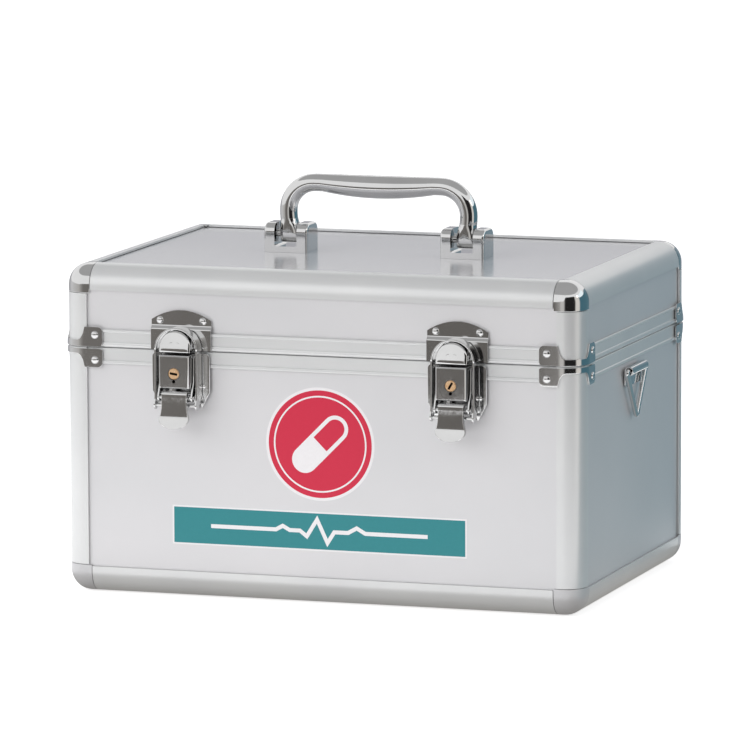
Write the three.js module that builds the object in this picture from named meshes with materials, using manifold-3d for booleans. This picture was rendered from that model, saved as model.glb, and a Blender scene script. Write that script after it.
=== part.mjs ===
// A medicine lock box: an aluminium carrying case with a hinged lid, two keyed
// draw latches, a folding handle on top and a hanging ring on each end.
// Millimetres, +Z up. The origin is the centre of the underside, and the front,
// which carries the latches, faces -Y.
import * as THREE from "three";
import Module from "manifold-3d";
import { RoundedBoxGeometry } from "three/addons/geometries/RoundedBoxGeometry.js";
import { mergeVertices } from "three/addons/utils/BufferGeometryUtils.js";

// Case
const caseWidth = 300;
const caseDepth = 208;
const caseHeight = 184;
const lidHeight = 46;
const seamHeight = caseHeight - lidHeight;
const edgeRadius = 12;

// Clearances
const seatGap = 0.3;
const seamGap = 0.3;
const pinPlay = 0.35;

// Panels and the extrusions that hold them
const panelThickness = 3;
const flangeThickness = 1.2;
const postFlange = 14;
const postSkin = 2.4;
const topFlange = 14;
const bottomFlange = 15;
const panelOverlap = 4;
const bottomLedge = 4;

// Rims that meet at the seam
const baseRimHeight = 9;
const lidRimHeight = 10;
const bandRecess = 0.6;
const baseBeadHeight = 2.2;
const lidBeadHeight = 1.8;
const lipHeight = 3.4;
const beadRounding = 0.55;
const tongueHeight = 3;
const tongueThickness = 1.6;
const tongueGap = 0.5;

// Corner caps and the riveted straps round the corners at the seam
const capLength = 15.7;
const capThickness = 1;
const strapThickness = 0.8;
const lidStrapHeight = 3.5;
const baseStrapHeight = 3;
const lidTabHeight = 11;
const baseTabHeight = 10.4;
const frontTabReach = 11.5;
const sideTabReach = 12;
const tabCornerRadius = 3;
const strapSeamGap = 0.6;
const rivetRadius = 2.1;
const rivetHeight = 0.9;
const rivetShoulder = 0.75;

// Rear hinge
const hingeEndGap = 5.5;
const hingeLength = caseWidth - 2 * (edgeRadius + frontTabReach + hingeEndGap);
const hingeKnuckles = 11;
const knuckleRadius = 2.4;
const knuckleGap = 0.5;
const hingePinRadius = 1;
const hingeLeafThickness = 0.8;
const hingeLeafHeight = 11;

// Handle
const handleSpan = 104;
const handleLegSpan = 106.4;
const handleHeight = 34.4;
const handleBendRadius = 16;
const handleBendPull = 0.55;
const handleRadius = 5;
const gripRadius = 6.5;
const gripLength = 76;
const gripEndInset = 1;
const lugWidth = 10.4;
const lugRadius = 5;
const lugHeight = 7;
const handlePinRadius = 2;
const bracketWidth = 26;
const bracketDepth = 19.5;
const bracketHeight = 16.5;
const bracketSlot = 13.2;
const bracketFloor = 3.5;
const bracketRounding = 5;
const handlePivotHeight = 9.8;

// Rings on the ends of the case
const ringSeamDrop = 13.5;
const ringHeight = seamHeight - ringSeamDrop;
const ringCentreY = -3;
const ringDrop = 27;
const ringWireRadius = 1.5;
const ringHalfWidth = 19.2;
const ringBend = 2.4;
const ringSleeveLength = 30;
const ringSleeveWall = 1;
const ringPlateThickness = 1;
const ringPlateDrop = 9;

// Latches: across from the latch's middle, up or down from the seam, and out
// from the case's front face
const latchSpacing = 160;
const latchPlateThickness = 1.2;
const latchSeamGap = 0.6;
const catchWidth = 35;
const catchTop = 22.8;
const catchShoulder = 17.3;
const catchBend = 12.4;
const catchRivetSpacing = 25;
const catchRivetHeight = 17;
const bossRadius = 9.1;
const bossCentreHeight = 3.6;
const bossReach = 6;
const bossBevel = 1.2;
const footingWidth = 33.6;
const footingCornerRadius = 2.4;
const footingTopDrop = 0.8;
const footingTaperDrop = 22.3;
const footingTipWidth = 24.4;
const footingTipDrop = 31.1;
const footingRivetSpacing = 26.4;
const footingRivetDrop = 18.9;
const footingRivetRadius = 1.3;
const footingRivetHeight = 0.7;
const earThickness = 1;
const earReach = 8.6;
const earTopDrop = 2.5;
const earFootDrop = 28.5;
const earEyeRadius = 2.3;
const pivotDrop = 24.5;
const pivotReach = 9.8;
const pivotRadius = 1.1;
const pivotProud = 0.3;
const lockWidth = 17.8;
const lockTopDrop = 0.6;
const lockBottomDrop = 19.3;
const lockReach = 13.3;
const lockBevel = 0.8;
const lockBackGap = 0.45;
const cylinderDrop = 10.9;
const cylinderRadius = 3.2;
const cylinderProud = 0.2;
const keywayWidth = 1.3;
const keywayLength = 4.4;
const keywayDepth = 3;
const notchRadius = 0.9;
const notchDrop = 4.3;
const notchDepth = 1.5;
const camRadius = 6.4;
const camLength = 5.8;
const camWidth = 4;
const camThickness = 1.2;
const leftKeyTurn = 8;
const rightKeyTurn = -60;
const loopRadius = 12.6;
const loopCentreHeight = 1.6;
const loopWall = 1.1;
const loopReach = 10.1;
const loopPlay = 0.3;
const loopRounding = 0.3;
const loopPinDrop = 29;
const loopPinReach = 9.4;
const loopPinRadius = 1;
const loopPinSunk = 0.2;
const loopFootRadius = 2.4;
const tabThickness = 1.2;
const tabTopDrop = 20.9;
const tabTopRounding = 1;
const tabNeckDrop = 29;
const tabWaistDrop = 31;
const tabFlareBend = 33;
const tabFlareDrop = 36.2;
const tabBottomDrop = 41.4;
const tabTopWidth = 15.2;
const tabNeckWidth = 14.4;
const tabFlareWidth = 17.8;
const tabFlick = 2.4;
const flangeTopDrop = 22.2;
const flangeBottomDrop = 31;
const flangeBehindPivot = 1.9;

// Facets
const edgeFacets = 2;
const archFacets = 6;
const sideFacets = 3;
const rivetFacets = 8;
const pinFacets = 10;
const boreFacets = 16;
const wireFacets = 8;
const handleSteps = 32;
const gripRings = 8;
const ringSteps = 30;

// Sizes that follow from those above
const wallThickness = panelThickness + 2 * (flangeThickness + seatGap);
const panelRecess = flangeThickness + seatGap;
const hingeAxisY = caseDepth / 2 + seatGap + knuckleRadius;
const hingeAxisZ = seamHeight + seamGap / 2;
const strapOuter = seatGap + strapThickness;
const lidLow = seamHeight + seamGap;
const tongueFace = tongueThickness - wallThickness;
const panelTop = caseHeight - panelRecess;

const wasm = await Module();
wasm.setup();

// Turns a closed surface into a solid that can be cut and joined.
function solidOf(geometry) {
  const bare = geometry.clone();
  bare.deleteAttribute("normal");
  bare.deleteAttribute("uv");
  const merged = mergeVertices(bare, 1e-4);
  const index = merged.index.array;
  const triVerts = [];
  for (let i = 0; i < index.length; i += 3) {
    const [a, b, c] = [index[i], index[i + 1], index[i + 2]];
    if (a !== b && b !== c && c !== a) triVerts.push(a, b, c);
  }
  return new wasm.Manifold(
    new wasm.Mesh({
      numProp: 3,
      vertProperties: merged.attributes.position.array,
      triVerts: new Uint32Array(triVerts),
    }),
  );
}

// Turns a finished solid into a named mesh.
function meshOf(name, solid, material) {
  const data = solid.getMesh();
  const geometry = new THREE.BufferGeometry();
  geometry.setAttribute("position", new THREE.BufferAttribute(data.vertProperties, 3));
  geometry.setIndex(new THREE.BufferAttribute(data.triVerts, 1));
  geometry.computeVertexNormals();
  const mesh = new THREE.Mesh(geometry, new THREE.MeshStandardMaterial(material));
  mesh.name = name;
  return mesh;
}

// A box between two corners.
function block(x0, x1, y0, y1, z0, z1) {
  const box = new THREE.BoxGeometry(x1 - x0, y1 - y0, z1 - z0);
  return solidOf(box.translate((x0 + x1) / 2, (y0 + y1) / 2, (z0 + z1) / 2));
}

// A box centred on the Z axis.
function centredBlock(width, depth, z0, z1) {
  return block(-width / 2, width / 2, -depth / 2, depth / 2, z0, z1);
}

// A shape drawn in plan, raised from z0 to z1.
function raised(shape, z0, z1, curveSegments = edgeFacets) {
  const options = { depth: z1 - z0, bevelEnabled: false, curveSegments };
  return solidOf(new THREE.ExtrudeGeometry(shape, options).translate(0, 0, z0));
}

// A shape drawn in plan with its upper and lower edges rounded over.
function roundedSlab(shape, z0, z1, rounding) {
  const slab = new THREE.ExtrudeGeometry(shape, {
    depth: z1 - z0 - 2 * rounding,
    bevelThickness: rounding,
    bevelSize: rounding,
    bevelOffset: -rounding,
    bevelSegments: 1,
    curveSegments: edgeFacets,
  });
  return solidOf(slab.translate(0, 0, z0 + rounding));
}

// A shape drawn on the front, in X and Z, reaching out from out0 to out1.
function fronted(shape, out0, out1, curveSegments = archFacets, rounding = 0) {
  const plate = new THREE.ExtrudeGeometry(shape, {
    depth: out1 - out0 - 2 * rounding,
    bevelEnabled: rounding > 0,
    bevelThickness: rounding,
    bevelSize: rounding,
    bevelOffset: -rounding,
    bevelSegments: 1,
    curveSegments,
  });
  return solidOf(plate.translate(0, 0, out0 + rounding).rotateX(Math.PI / 2));
}

// A profile drawn from the side, in outward reach and Z, running from x0 to x1.
function sided(shape, x0, x1, curveSegments = sideFacets) {
  const options = { depth: x1 - x0, bevelEnabled: false, curveSegments };
  const turn = new THREE.Matrix4().makeBasis(
    new THREE.Vector3(0, -1, 0),
    new THREE.Vector3(0, 0, 1),
    new THREE.Vector3(-1, 0, 0),
  );
  const bar = new THREE.ExtrudeGeometry(shape, options).applyMatrix4(turn);
  return solidOf(bar.translate(x1, 0, 0));
}

// A round bar along X from x0 to x1.
function barAlongX(radius, x0, x1, y, z, facets = pinFacets) {
  const bar = new THREE.CylinderGeometry(radius, radius, x1 - x0, facets);
  return solidOf(bar.rotateZ(Math.PI / 2).translate((x0 + x1) / 2, y, z));
}

// A round bar along Y from y0 to y1.
function barAlongY(radius, y0, y1, x, z, facets = pinFacets) {
  const bar = new THREE.CylinderGeometry(radius, radius, y1 - y0, facets);
  return solidOf(bar.translate(x, (y0 + y1) / 2, z));
}

// A domed rivet head on the Y axis, its foot sunk a little into what it holds.
function rivetHead(radius, height) {
  const sunk = strapThickness / 2;
  const profile = [
    new THREE.Vector2(0, -sunk),
    new THREE.Vector2(radius, -sunk),
    new THREE.Vector2(radius, 0),
    new THREE.Vector2(radius * rivetShoulder, height * rivetShoulder),
    new THREE.Vector2(0, height),
  ];
  return new THREE.LatheGeometry(profile, rivetFacets);
}

// Joins a list of solids into one.
function joined(solids) {
  return solids.reduce((whole, next) => whole.add(next));
}

// A closed polygon through a list of points.
function polygon(points) {
  return new THREE.Shape(points.map(([a, b]) => new THREE.Vector2(a, b)));
}

// The case's rounded outline in plan, grown by an offset.
function planOutline(offset) {
  const x = caseWidth / 2 - edgeRadius;
  const y = caseDepth / 2 - edgeRadius;
  const r = edgeRadius + offset;
  const quarter = Math.PI / 2;
  const shape = new THREE.Shape();
  shape.absarc(x, -y, r, -quarter, 0);
  shape.absarc(x, y, r, 0, quarter);
  shape.absarc(-x, y, r, quarter, 2 * quarter);
  shape.absarc(-x, -y, r, 2 * quarter, 3 * quarter);
  shape.closePath();
  return shape;
}

// The case's rounded block, shrunk all round by an inset.
function roundedCase(inset) {
  const box = new RoundedBoxGeometry(
    caseWidth - 2 * inset,
    caseDepth - 2 * inset,
    caseHeight - 2 * inset,
    edgeFacets,
    edgeRadius - inset,
  );
  return solidOf(box.translate(0, 0, caseHeight / 2));
}

const aluminium = { color: 0xc9cbce, roughness: 0.35, metalness: 0.9 };
const satinSheet = { color: 0xd3d2d3, roughness: 0.45, metalness: 0.7 };
const chrome = { color: 0xdfe1e4, roughness: 0.12, metalness: 1 };
const dullSteel = { color: 0xa9abaf, roughness: 0.4, metalness: 0.9 };
const brass = { color: 0xb98f55, roughness: 0.35, metalness: 1 };

const corners = [
  ["front_left", -1, -1],
  ["front_right", 1, -1],
  ["rear_left", -1, 1],
  ["rear_right", 1, 1],
];

// Sets one corner piece, drawn for the rear right corner, at all four corners.
function atCorners(group, name, solid, material) {
  for (const [place, sideX, sideY] of corners) {
    const mesh = meshOf(name + "_" + place, solid, material);
    mesh.scale.set(sideX, sideY, 1);
    group.add(mesh);
  }
}

// The four upright panels between two heights of open wall. Grown by a gap,
// they are the slots that hold them.
function wallPanels(low, high, gap) {
  const reachX = caseWidth / 2 - postFlange + panelOverlap + gap;
  const reachY = caseDepth / 2 - postFlange + panelOverlap + gap;
  const outX = caseWidth / 2 - panelRecess + gap;
  const outY = caseDepth / 2 - panelRecess + gap;
  const inX = outX - panelThickness - 2 * gap;
  const inY = outY - panelThickness - 2 * gap;
  const z0 = low - panelOverlap - gap;
  const z1 = high + panelOverlap + gap;
  return {
    front: block(-reachX, reachX, -outY, -inY, z0, z1),
    rear: block(-reachX, reachX, inY, outY, z0, z1),
    left: block(-outX, -inX, -reachY, reachY, z0, z1),
    right: block(inX, outX, -reachY, reachY, z0, z1),
  };
}

// The flat panel that closes the top, grown by a gap.
function topPanel(gap) {
  const z1 = panelTop + gap;
  const width = caseWidth - 2 * (topFlange - panelOverlap) + 2 * gap;
  const depth = caseDepth - 2 * (topFlange - panelOverlap) + 2 * gap;
  return centredBlock(width, depth, z1 - panelThickness - 2 * gap, z1);
}

const outerCase = roundedCase(0);
const shell = outerCase.subtract(roundedCase(wallThickness));
const baseOpen = [bottomFlange, seamHeight - baseRimHeight];
const lidOpen = [lidLow + lidRimHeight, caseHeight - topFlange];
const baseSlots = joined(Object.values(wallPanels(...baseOpen, seatGap)));
const lidSlots = joined(Object.values(wallPanels(...lidOpen, seatGap)));

// The space at the rear right corner between two heights, as far as a reach.
function cornerZone(reach, z0, z1) {
  const x = caseWidth / 2;
  const y = caseDepth / 2;
  return block(x - reach, x, y - reach, y, z0, z1);
}

// The same space at all four corners.
function cornerZones(reach, z0, z1) {
  const zone = cornerZone(reach, z0, z1);
  return joined(corners.map(([, sideX, sideY]) => zone.scale([sideX, sideY, 1])));
}

// The space that the caps need, above or below a height.
function capSeats(z0, z1) {
  const inner = roundedCase(capThickness + seatGap);
  return cornerZones(capLength + seatGap, z0, z1).subtract(inner);
}

const bottomSeats = capSeats(0, capLength + seatGap);
const topSeats = capSeats(caseHeight - capLength - seatGap, caseHeight);

// The rear right post: a rounded angle with panel slots beside the open wall,
// and a skin that runs on over the rim to the seam.
function cornerPost([low, high], skinLow, skinHigh, slots, seats) {
  const angle = shell.intersect(cornerZone(postFlange, low + seatGap, high - seatGap));
  const skin = outerCase
    .subtract(roundedCase(postSkin))
    .intersect(cornerZone(postFlange, skinLow, skinHigh));
  return angle.add(skin).subtract(slots).subtract(seats);
}

// The space that the posts' skins need in a rim.
function skinSeats(z0, z1) {
  const inner = raised(planOutline(-postSkin - seatGap), z0, z1);
  return cornerZones(postFlange + seatGap, z0, z1).subtract(inner);
}

// A pressed ball corner over the ends of the three extrusions that meet there.
function cornerCap(z0, z1) {
  const zone = cornerZone(capLength, z0, z1);
  return outerCase.subtract(roundedCase(capThickness)).intersect(zone);
}

// The frame round the underside, with a ledge that carries the bottom panel.
function bottomFrame() {
  const openWidth = caseWidth - 2 * postFlange;
  const openDepth = caseDepth - 2 * postFlange;
  const ledgeWidth = openWidth - 2 * bottomLedge;
  const ledgeDepth = openDepth - 2 * bottomLedge;
  return shell
    .intersect(centredBlock(caseWidth, caseDepth, 0, bottomFlange))
    .subtract(centredBlock(openWidth, openDepth, -1, panelThickness + seatGap))
    .subtract(centredBlock(ledgeWidth, ledgeDepth, -1, bottomFlange + 1))
    .subtract(baseSlots)
    .subtract(bottomSeats);
}

function bottomPanel() {
  const width = caseWidth - 2 * (postFlange + seatGap);
  const depth = caseDepth - 2 * (postFlange + seatGap);
  return centredBlock(width, depth, 0, panelThickness).subtract(bottomSeats);
}

// The frame round the top, slotted for the top panel and the lid's walls.
function topFrame() {
  const openWidth = caseWidth - 2 * topFlange;
  const openDepth = caseDepth - 2 * topFlange;
  return shell
    .intersect(centredBlock(caseWidth, caseDepth, lidOpen[1], caseHeight))
    .subtract(centredBlock(openWidth, openDepth, lidOpen[1] - 1, caseHeight + 1))
    .subtract(topPanel(seatGap))
    .subtract(lidSlots)
    .subtract(topSeats);
}

// The base's rim: a flat band over a bead, with a tongue that stands up inside.
function baseRim() {
  const low = seamHeight - baseRimHeight;
  const tongueTop = seamHeight + tongueHeight;
  return roundedSlab(planOutline(0), low, low + baseBeadHeight, beadRounding)
    .add(raised(planOutline(-bandRecess), low, seamHeight))
    .add(raised(planOutline(tongueFace), low, tongueTop))
    .subtract(raised(planOutline(-wallThickness), low, tongueTop))
    .subtract(skinSeats(low, seamHeight))
    .subtract(baseSlots);
}

// The lid's rim: a bead, a flat band and a rounded lip, over the base's tongue.
function lidRim() {
  const high = lidLow + lidRimHeight;
  const tongueSpace = seamHeight + tongueHeight + tongueGap;
  return roundedSlab(planOutline(0), lidLow, lidLow + lipHeight, 2 * beadRounding)
    .add(raised(planOutline(-bandRecess), lidLow, high))
    .add(roundedSlab(planOutline(0), high - lidBeadHeight, high, beadRounding))
    .subtract(raised(planOutline(-wallThickness), lidLow, high))
    .subtract(raised(planOutline(tongueFace + tongueGap), lidLow, tongueSpace))
    .subtract(skinSeats(lidLow, high))
    .subtract(lidSlots);
}

// A flat tab with its two outer corners rounded, from a0 to a1 and z0 to z1.
function tabShape(a0, a1, z0, z1) {
  const r = tabCornerRadius;
  const shape = new THREE.Shape();
  shape.moveTo(a1, z0);
  shape.lineTo(a1, z1);
  shape.lineTo(a0 + r, z1);
  shape.absarc(a0 + r, z1 - r, r, Math.PI / 2, Math.PI);
  shape.absarc(a0 + r, z0 + r, r, Math.PI, 1.5 * Math.PI);
  shape.closePath();
  return shape;
}

// The riveted strap round the rear right corner, with a tab on each face.
function seamBracket(tabLow, tabHigh, strapLow, strapHigh) {
  const cornerX = caseWidth / 2 - edgeRadius;
  const cornerY = caseDepth / 2 - edgeRadius;
  const faceX = caseWidth / 2;
  const faceY = caseDepth / 2;
  const middle = (tabLow + tabHigh) / 2;
  const zone = block(
    cornerX - 1,
    faceX + strapOuter,
    cornerY - 1,
    faceY + strapOuter,
    strapLow,
    strapHigh,
  );
  const strap = raised(planOutline(strapOuter), strapLow, strapHigh)
    .subtract(raised(planOutline(seatGap), strapLow, strapHigh))
    .intersect(zone);
  const facePlate = tabShape(cornerX - frontTabReach, cornerX, tabLow, tabHigh);
  const sidePlate = tabShape(cornerY - sideTabReach, cornerY, tabLow, tabHigh);
  const turned = new THREE.Matrix4().makeBasis(
    new THREE.Vector3(0, 1, 0),
    new THREE.Vector3(0, 0, 1),
    new THREE.Vector3(1, 0, 0),
  );
  const options = { depth: strapThickness, bevelEnabled: false, curveSegments: edgeFacets };
  const faceTab = new THREE.ExtrudeGeometry(facePlate, options)
    .rotateX(Math.PI / 2)
    .translate(0, faceY + strapOuter, 0);
  const sideTab = new THREE.ExtrudeGeometry(sidePlate, options)
    .applyMatrix4(turned)
    .translate(faceX + seatGap, 0, 0);
  const faceRivet = rivetHead(rivetRadius, rivetHeight).translate(
    cornerX - frontTabReach / 2,
    faceY + strapOuter,
    middle,
  );
  const sideRivet = rivetHead(rivetRadius, rivetHeight)
    .rotateZ(-Math.PI / 2)
    .translate(faceX + strapOuter, cornerY - sideTabReach / 2, middle);
  return joined([strap, ...[faceTab, sideTab, faceRivet, sideRivet].map(solidOf)]);
}

// One leaf of the rear hinge. Its knuckles take every other place along the pin.
function hingeLeaf(direction, firstKnuckle) {
  const pitch = hingeLength / hingeKnuckles;
  const faceY = caseDepth / 2 + seatGap;
  const near = hingeAxisZ + direction * (knuckleRadius + seatGap);
  const far = near + direction * (hingeLeafHeight - knuckleRadius);
  const plate = block(
    -hingeLength / 2,
    hingeLength / 2,
    faceY,
    faceY + hingeLeafThickness,
    Math.min(near, far),
    Math.max(near, far),
  );
  const pieces = [plate];
  for (let i = firstKnuckle; i < hingeKnuckles; i += 2) {
    const x0 = -hingeLength / 2 + i * pitch + knuckleGap / 2;
    const x1 = x0 + pitch - knuckleGap;
    const web = block(
      x0,
      x1,
      faceY,
      faceY + hingeLeafThickness,
      Math.min(near, hingeAxisZ),
      Math.max(near, hingeAxisZ),
    );
    pieces.push(web.add(barAlongX(knuckleRadius, x0, x1, hingeAxisY, hingeAxisZ)));
  }
  const bore = barAlongX(
    hingePinRadius + pinPlay,
    -hingeLength / 2 - 1,
    hingeLength / 2 + 1,
    hingeAxisY,
    hingeAxisZ,
  );
  return joined(pieces).subtract(bore);
}

// A clevis on the lid for one end of the handle, centred on its own foot.
function handleBracket() {
  const half = bracketDepth / 2;
  const r = bracketRounding;
  const side = new THREE.Shape();
  side.moveTo(-half, 0);
  side.lineTo(half, 0);
  side.absarc(half - r, bracketHeight - r, r, 0, Math.PI / 2);
  side.absarc(r - half, bracketHeight - r, r, Math.PI / 2, Math.PI);
  side.closePath();
  const slot = block(
    -bracketSlot / 2,
    bracketSlot / 2,
    -bracketDepth,
    bracketDepth,
    bracketFloor,
    2 * bracketHeight,
  );
  const cheek = (bracketWidth - bracketSlot) / 2;
  const boreReach = bracketSlot / 2 + cheek / 2;
  const bore = barAlongX(handlePinRadius + pinPlay, -boreReach, boreReach, 0, handlePivotHeight);
  return sided(side, -bracketWidth / 2, bracketWidth / 2).subtract(slot).subtract(bore);
}

// The bow handle, upright, centred on its pivot line: round legs that bend into
// a grip, which swells downwards in the middle, over flat lugs with pins.
function handle() {
  const foot = handleSpan / 2;
  const leg = handleLegSpan / 2;
  const top = handleHeight - handleRadius;
  const bendFoot = top - handleBendRadius;
  const bendSide = leg - handleBendRadius;
  const pull = handleBendPull * handleBendRadius;
  const at = (x, z) => new THREE.Vector3(x, 0, z);
  const path = new THREE.CurvePath();
  path.add(
    new THREE.CubicBezierCurve3(
      at(-foot, 0),
      at(-foot, bendFoot / 2),
      at(-leg, bendFoot / 2),
      at(-leg, bendFoot),
    ),
  );
  path.add(
    new THREE.CubicBezierCurve3(
      at(-leg, bendFoot),
      at(-leg, bendFoot + pull),
      at(-bendSide - pull, top),
      at(-bendSide, top),
    ),
  );
  path.add(new THREE.LineCurve3(at(-bendSide, top), at(bendSide, top)));
  path.add(
    new THREE.CubicBezierCurve3(
      at(bendSide, top),
      at(bendSide + pull, top),
      at(leg, bendFoot + pull),
      at(leg, bendFoot),
    ),
  );
  path.add(
    new THREE.CubicBezierCurve3(
      at(leg, bendFoot),
      at(leg, bendFoot / 2),
      at(foot, bendFoot / 2),
      at(foot, 0),
    ),
  );
  const section = new THREE.Shape();
  section.absarc(0, 0, handleRadius, 0, 2 * Math.PI);
  const bow = new THREE.ExtrudeGeometry(section, {
    extrudePath: path,
    steps: handleSteps,
    bevelEnabled: false,
    curveSegments: pinFacets / 2,
  });
  const endRadius = handleRadius - gripEndInset;
  const swell = [new THREE.Vector2(0, -gripLength / 2)];
  for (let i = 0; i <= gripRings; i += 1) {
    const along = i / gripRings;
    const radius = endRadius + (gripRadius - endRadius) * Math.sin(Math.PI * along);
    swell.push(new THREE.Vector2(radius, gripLength * (along - 0.5)));
  }
  swell.push(new THREE.Vector2(0, gripLength / 2));
  const grip = new THREE.LatheGeometry(swell, pinFacets)
    .rotateZ(Math.PI / 2)
    .translate(0, 0, handleHeight - gripRadius);
  const lugs = [-1, 1].map((side) => {
    const x = side * foot;
    const pinReach = bracketSlot / 2 + (bracketWidth - bracketSlot) / 4 - seatGap;
    return joined([
      barAlongX(lugRadius, x - lugWidth / 2, x + lugWidth / 2, 0, 0, boreFacets),
      block(x - lugWidth / 2, x + lugWidth / 2, -lugRadius, lugRadius, 0, lugHeight),
      barAlongX(handlePinRadius, x - pinReach, x + pinReach, 0, 0),
    ]);
  });
  return joined([solidOf(bow), solidOf(grip), ...lugs]);
}

// A plate on the end panel, rolled into a sleeve for the ring. The sleeve's
// middle is the local origin.
function ringPlate() {
  const outer = ringWireRadius + pinPlay + ringSleeveWall;
  const half = ringSleeveLength / 2;
  const plate = block(
    -outer,
    -outer + ringPlateThickness,
    -half,
    half,
    -ringPlateDrop,
    0,
  );
  const sleeve = barAlongY(outer, -half, half, 0, 0);
  const bore = barAlongY(ringWireRadius + pinPlay, -half - 1, half + 1, 0, 0);
  return plate.add(sleeve).subtract(bore);
}

// A bent wire ring, hanging from its sleeve. Its ends meet inside the sleeve.
function sideRing() {
  const point = (y, z) => new THREE.Vector3(0, y, z);
  const tip = point(0, -ringDrop);
  const corner = point(ringHalfWidth, 0);
  const along = tip.clone().sub(corner).normalize();
  const bendStart = point(ringHalfWidth - ringBend, 0);
  const bendEnd = corner.clone().addScaledVector(along, ringBend);
  const tipStart = tip.clone().addScaledVector(along, -ringBend);
  const mirrored = (v) => point(-v.y, v.z);
  const path = new THREE.CurvePath();
  path.add(new THREE.LineCurve3(point(seatGap, 0), bendStart));
  path.add(new THREE.QuadraticBezierCurve3(bendStart, corner, bendEnd));
  path.add(new THREE.LineCurve3(bendEnd, tipStart));
  path.add(new THREE.QuadraticBezierCurve3(tipStart, tip, mirrored(tipStart)));
  path.add(new THREE.LineCurve3(mirrored(tipStart), mirrored(bendEnd)));
  path.add(
    new THREE.QuadraticBezierCurve3(mirrored(bendEnd), mirrored(corner), mirrored(bendStart)),
  );
  path.add(new THREE.LineCurve3(mirrored(bendStart), point(-seatGap, 0)));
  const section = new THREE.Shape();
  section.absarc(0, 0, ringWireRadius, 0, 2 * Math.PI);
  const wire = new THREE.ExtrudeGeometry(section, {
    extrudePath: path,
    steps: ringSteps,
    bevelEnabled: false,
    curveSegments: wireFacets / 2,
  });
  return solidOf(wire);
}

// An arch with upright sides: a half round about a centre height, over a
// straight stretch that starts at a lower height.
function archShape(radius, centre, low) {
  const shape = new THREE.Shape();
  shape.moveTo(-radius, low);
  shape.lineTo(radius, low);
  shape.absarc(0, centre, radius, 0, Math.PI);
  shape.closePath();
  return shape;
}

// Rivet heads on the front of a plate, one each side of the latch's middle.
function rivetPair(spacing, height, reach, radius, rise) {
  return [-1, 1].map((side) =>
    solidOf(rivetHead(radius, rise).rotateX(Math.PI).translate((side * spacing) / 2, -reach, height)),
  );
}

// The catch on the lid: a bent plate with a curved top and a half round boss.
function latchCatch() {
  const t = latchPlateThickness;
  const half = catchWidth / 2;
  const sunk = seatGap - panelRecess;
  const profile = polygon([
    [seatGap, latchSeamGap],
    [seatGap + t, latchSeamGap],
    [seatGap + t, catchBend],
    [sunk + t, catchBend + panelRecess],
    [sunk + t, catchTop],
    [sunk, catchTop],
    [sunk, catchBend + panelRecess - seatGap],
    [seatGap, catchBend - seatGap],
  ]);
  const front = new THREE.Shape();
  front.moveTo(-half, latchSeamGap);
  front.lineTo(half, latchSeamGap);
  front.lineTo(half, catchShoulder);
  front.quadraticCurveTo(0, 2 * catchTop - catchShoulder, -half, catchShoulder);
  front.closePath();
  const plate = sided(profile, -half, half).intersect(fronted(front, -panelRecess, bossReach));
  const arch = archShape(bossRadius, bossCentreHeight, latchSeamGap);
  const seat = block(-half, half, -bossReach, -seatGap - t / 2, latchSeamGap, catchTop);
  const boss = fronted(arch, -bossReach, bossReach, archFacets, bossBevel).intersect(seat);
  const rivets = rivetPair(catchRivetSpacing, catchRivetHeight, sunk + t, rivetRadius, rivetHeight);
  return joined([plate, boss, ...rivets]);
}

// The latch's footing on the base: a riveted plate that tapers at its foot, with
// an ear each side of the lock for the lever's pivot.
function latchFooting() {
  const half = footingWidth / 2;
  const tip = footingTipWidth / 2;
  const r = footingCornerRadius;
  const face = seatGap + latchPlateThickness;
  const outline = new THREE.Shape();
  outline.moveTo(-tip, -footingTipDrop);
  outline.lineTo(tip, -footingTipDrop);
  outline.lineTo(half, -footingTaperDrop);
  outline.absarc(half - r, -footingTopDrop - r, r, 0, Math.PI / 2);
  outline.absarc(r - half, -footingTopDrop - r, r, Math.PI / 2, Math.PI);
  outline.lineTo(-half, -footingTaperDrop);
  outline.closePath();
  const root = face - latchPlateThickness / 2;
  const side = polygon([
    [root, -earTopDrop],
    [root, -earFootDrop],
    [pivotReach, -pivotDrop - earEyeRadius],
    [pivotReach, -pivotDrop],
    [earReach, -pivotDrop],
    [earReach, -earTopDrop],
  ]);
  const ears = [-1, 1].map((direction) => {
    const inner = direction * (lockWidth / 2 + seatGap);
    const outer = inner + direction * earThickness;
    const [x0, x1] = [Math.min(inner, outer), Math.max(inner, outer)];
    return sided(side, x0, x1).add(barAlongX(earEyeRadius, x0, x1, -pivotReach, -pivotDrop, boreFacets));
  });
  const bore = barAlongX(pivotRadius + pinPlay, -half, half, -pivotReach, -pivotDrop);
  const rivets = rivetPair(
    footingRivetSpacing,
    -footingRivetDrop,
    face,
    footingRivetRadius,
    footingRivetHeight,
  );
  return joined([fronted(outline, seatGap, face, edgeFacets), ...ears, ...rivets]).subtract(bore);
}

// The square lock body, bored for its cylinder, with a pocket for the cam and a
// small notch under the bore.
function lockBody() {
  const half = lockWidth / 2;
  const rear = seatGap + latchPlateThickness + seatGap;
  const outline = polygon([
    [-half, -lockBottomDrop],
    [half, -lockBottomDrop],
    [half, -lockTopDrop],
    [-half, -lockTopDrop],
  ]);
  const pocketReach = rear + camThickness + seatGap;
  const bore = barAlongY(cylinderRadius + pinPlay, -lockReach - 1, 0, 0, -cylinderDrop, boreFacets);
  const pocket = barAlongY(camRadius + seatGap, -pocketReach, 0, 0, -cylinderDrop, boreFacets);
  const notch = barAlongY(
    notchRadius,
    -lockReach - 1,
    notchDepth - lockReach,
    0,
    -cylinderDrop - notchDrop,
  );
  return fronted(outline, -lockReach, lockReach, 1, lockBevel)
    .intersect(block(-half, half, -lockReach, -rear, -lockBottomDrop, -lockTopDrop))
    .subtract(bore)
    .subtract(pocket)
    .subtract(notch);
}

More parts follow.
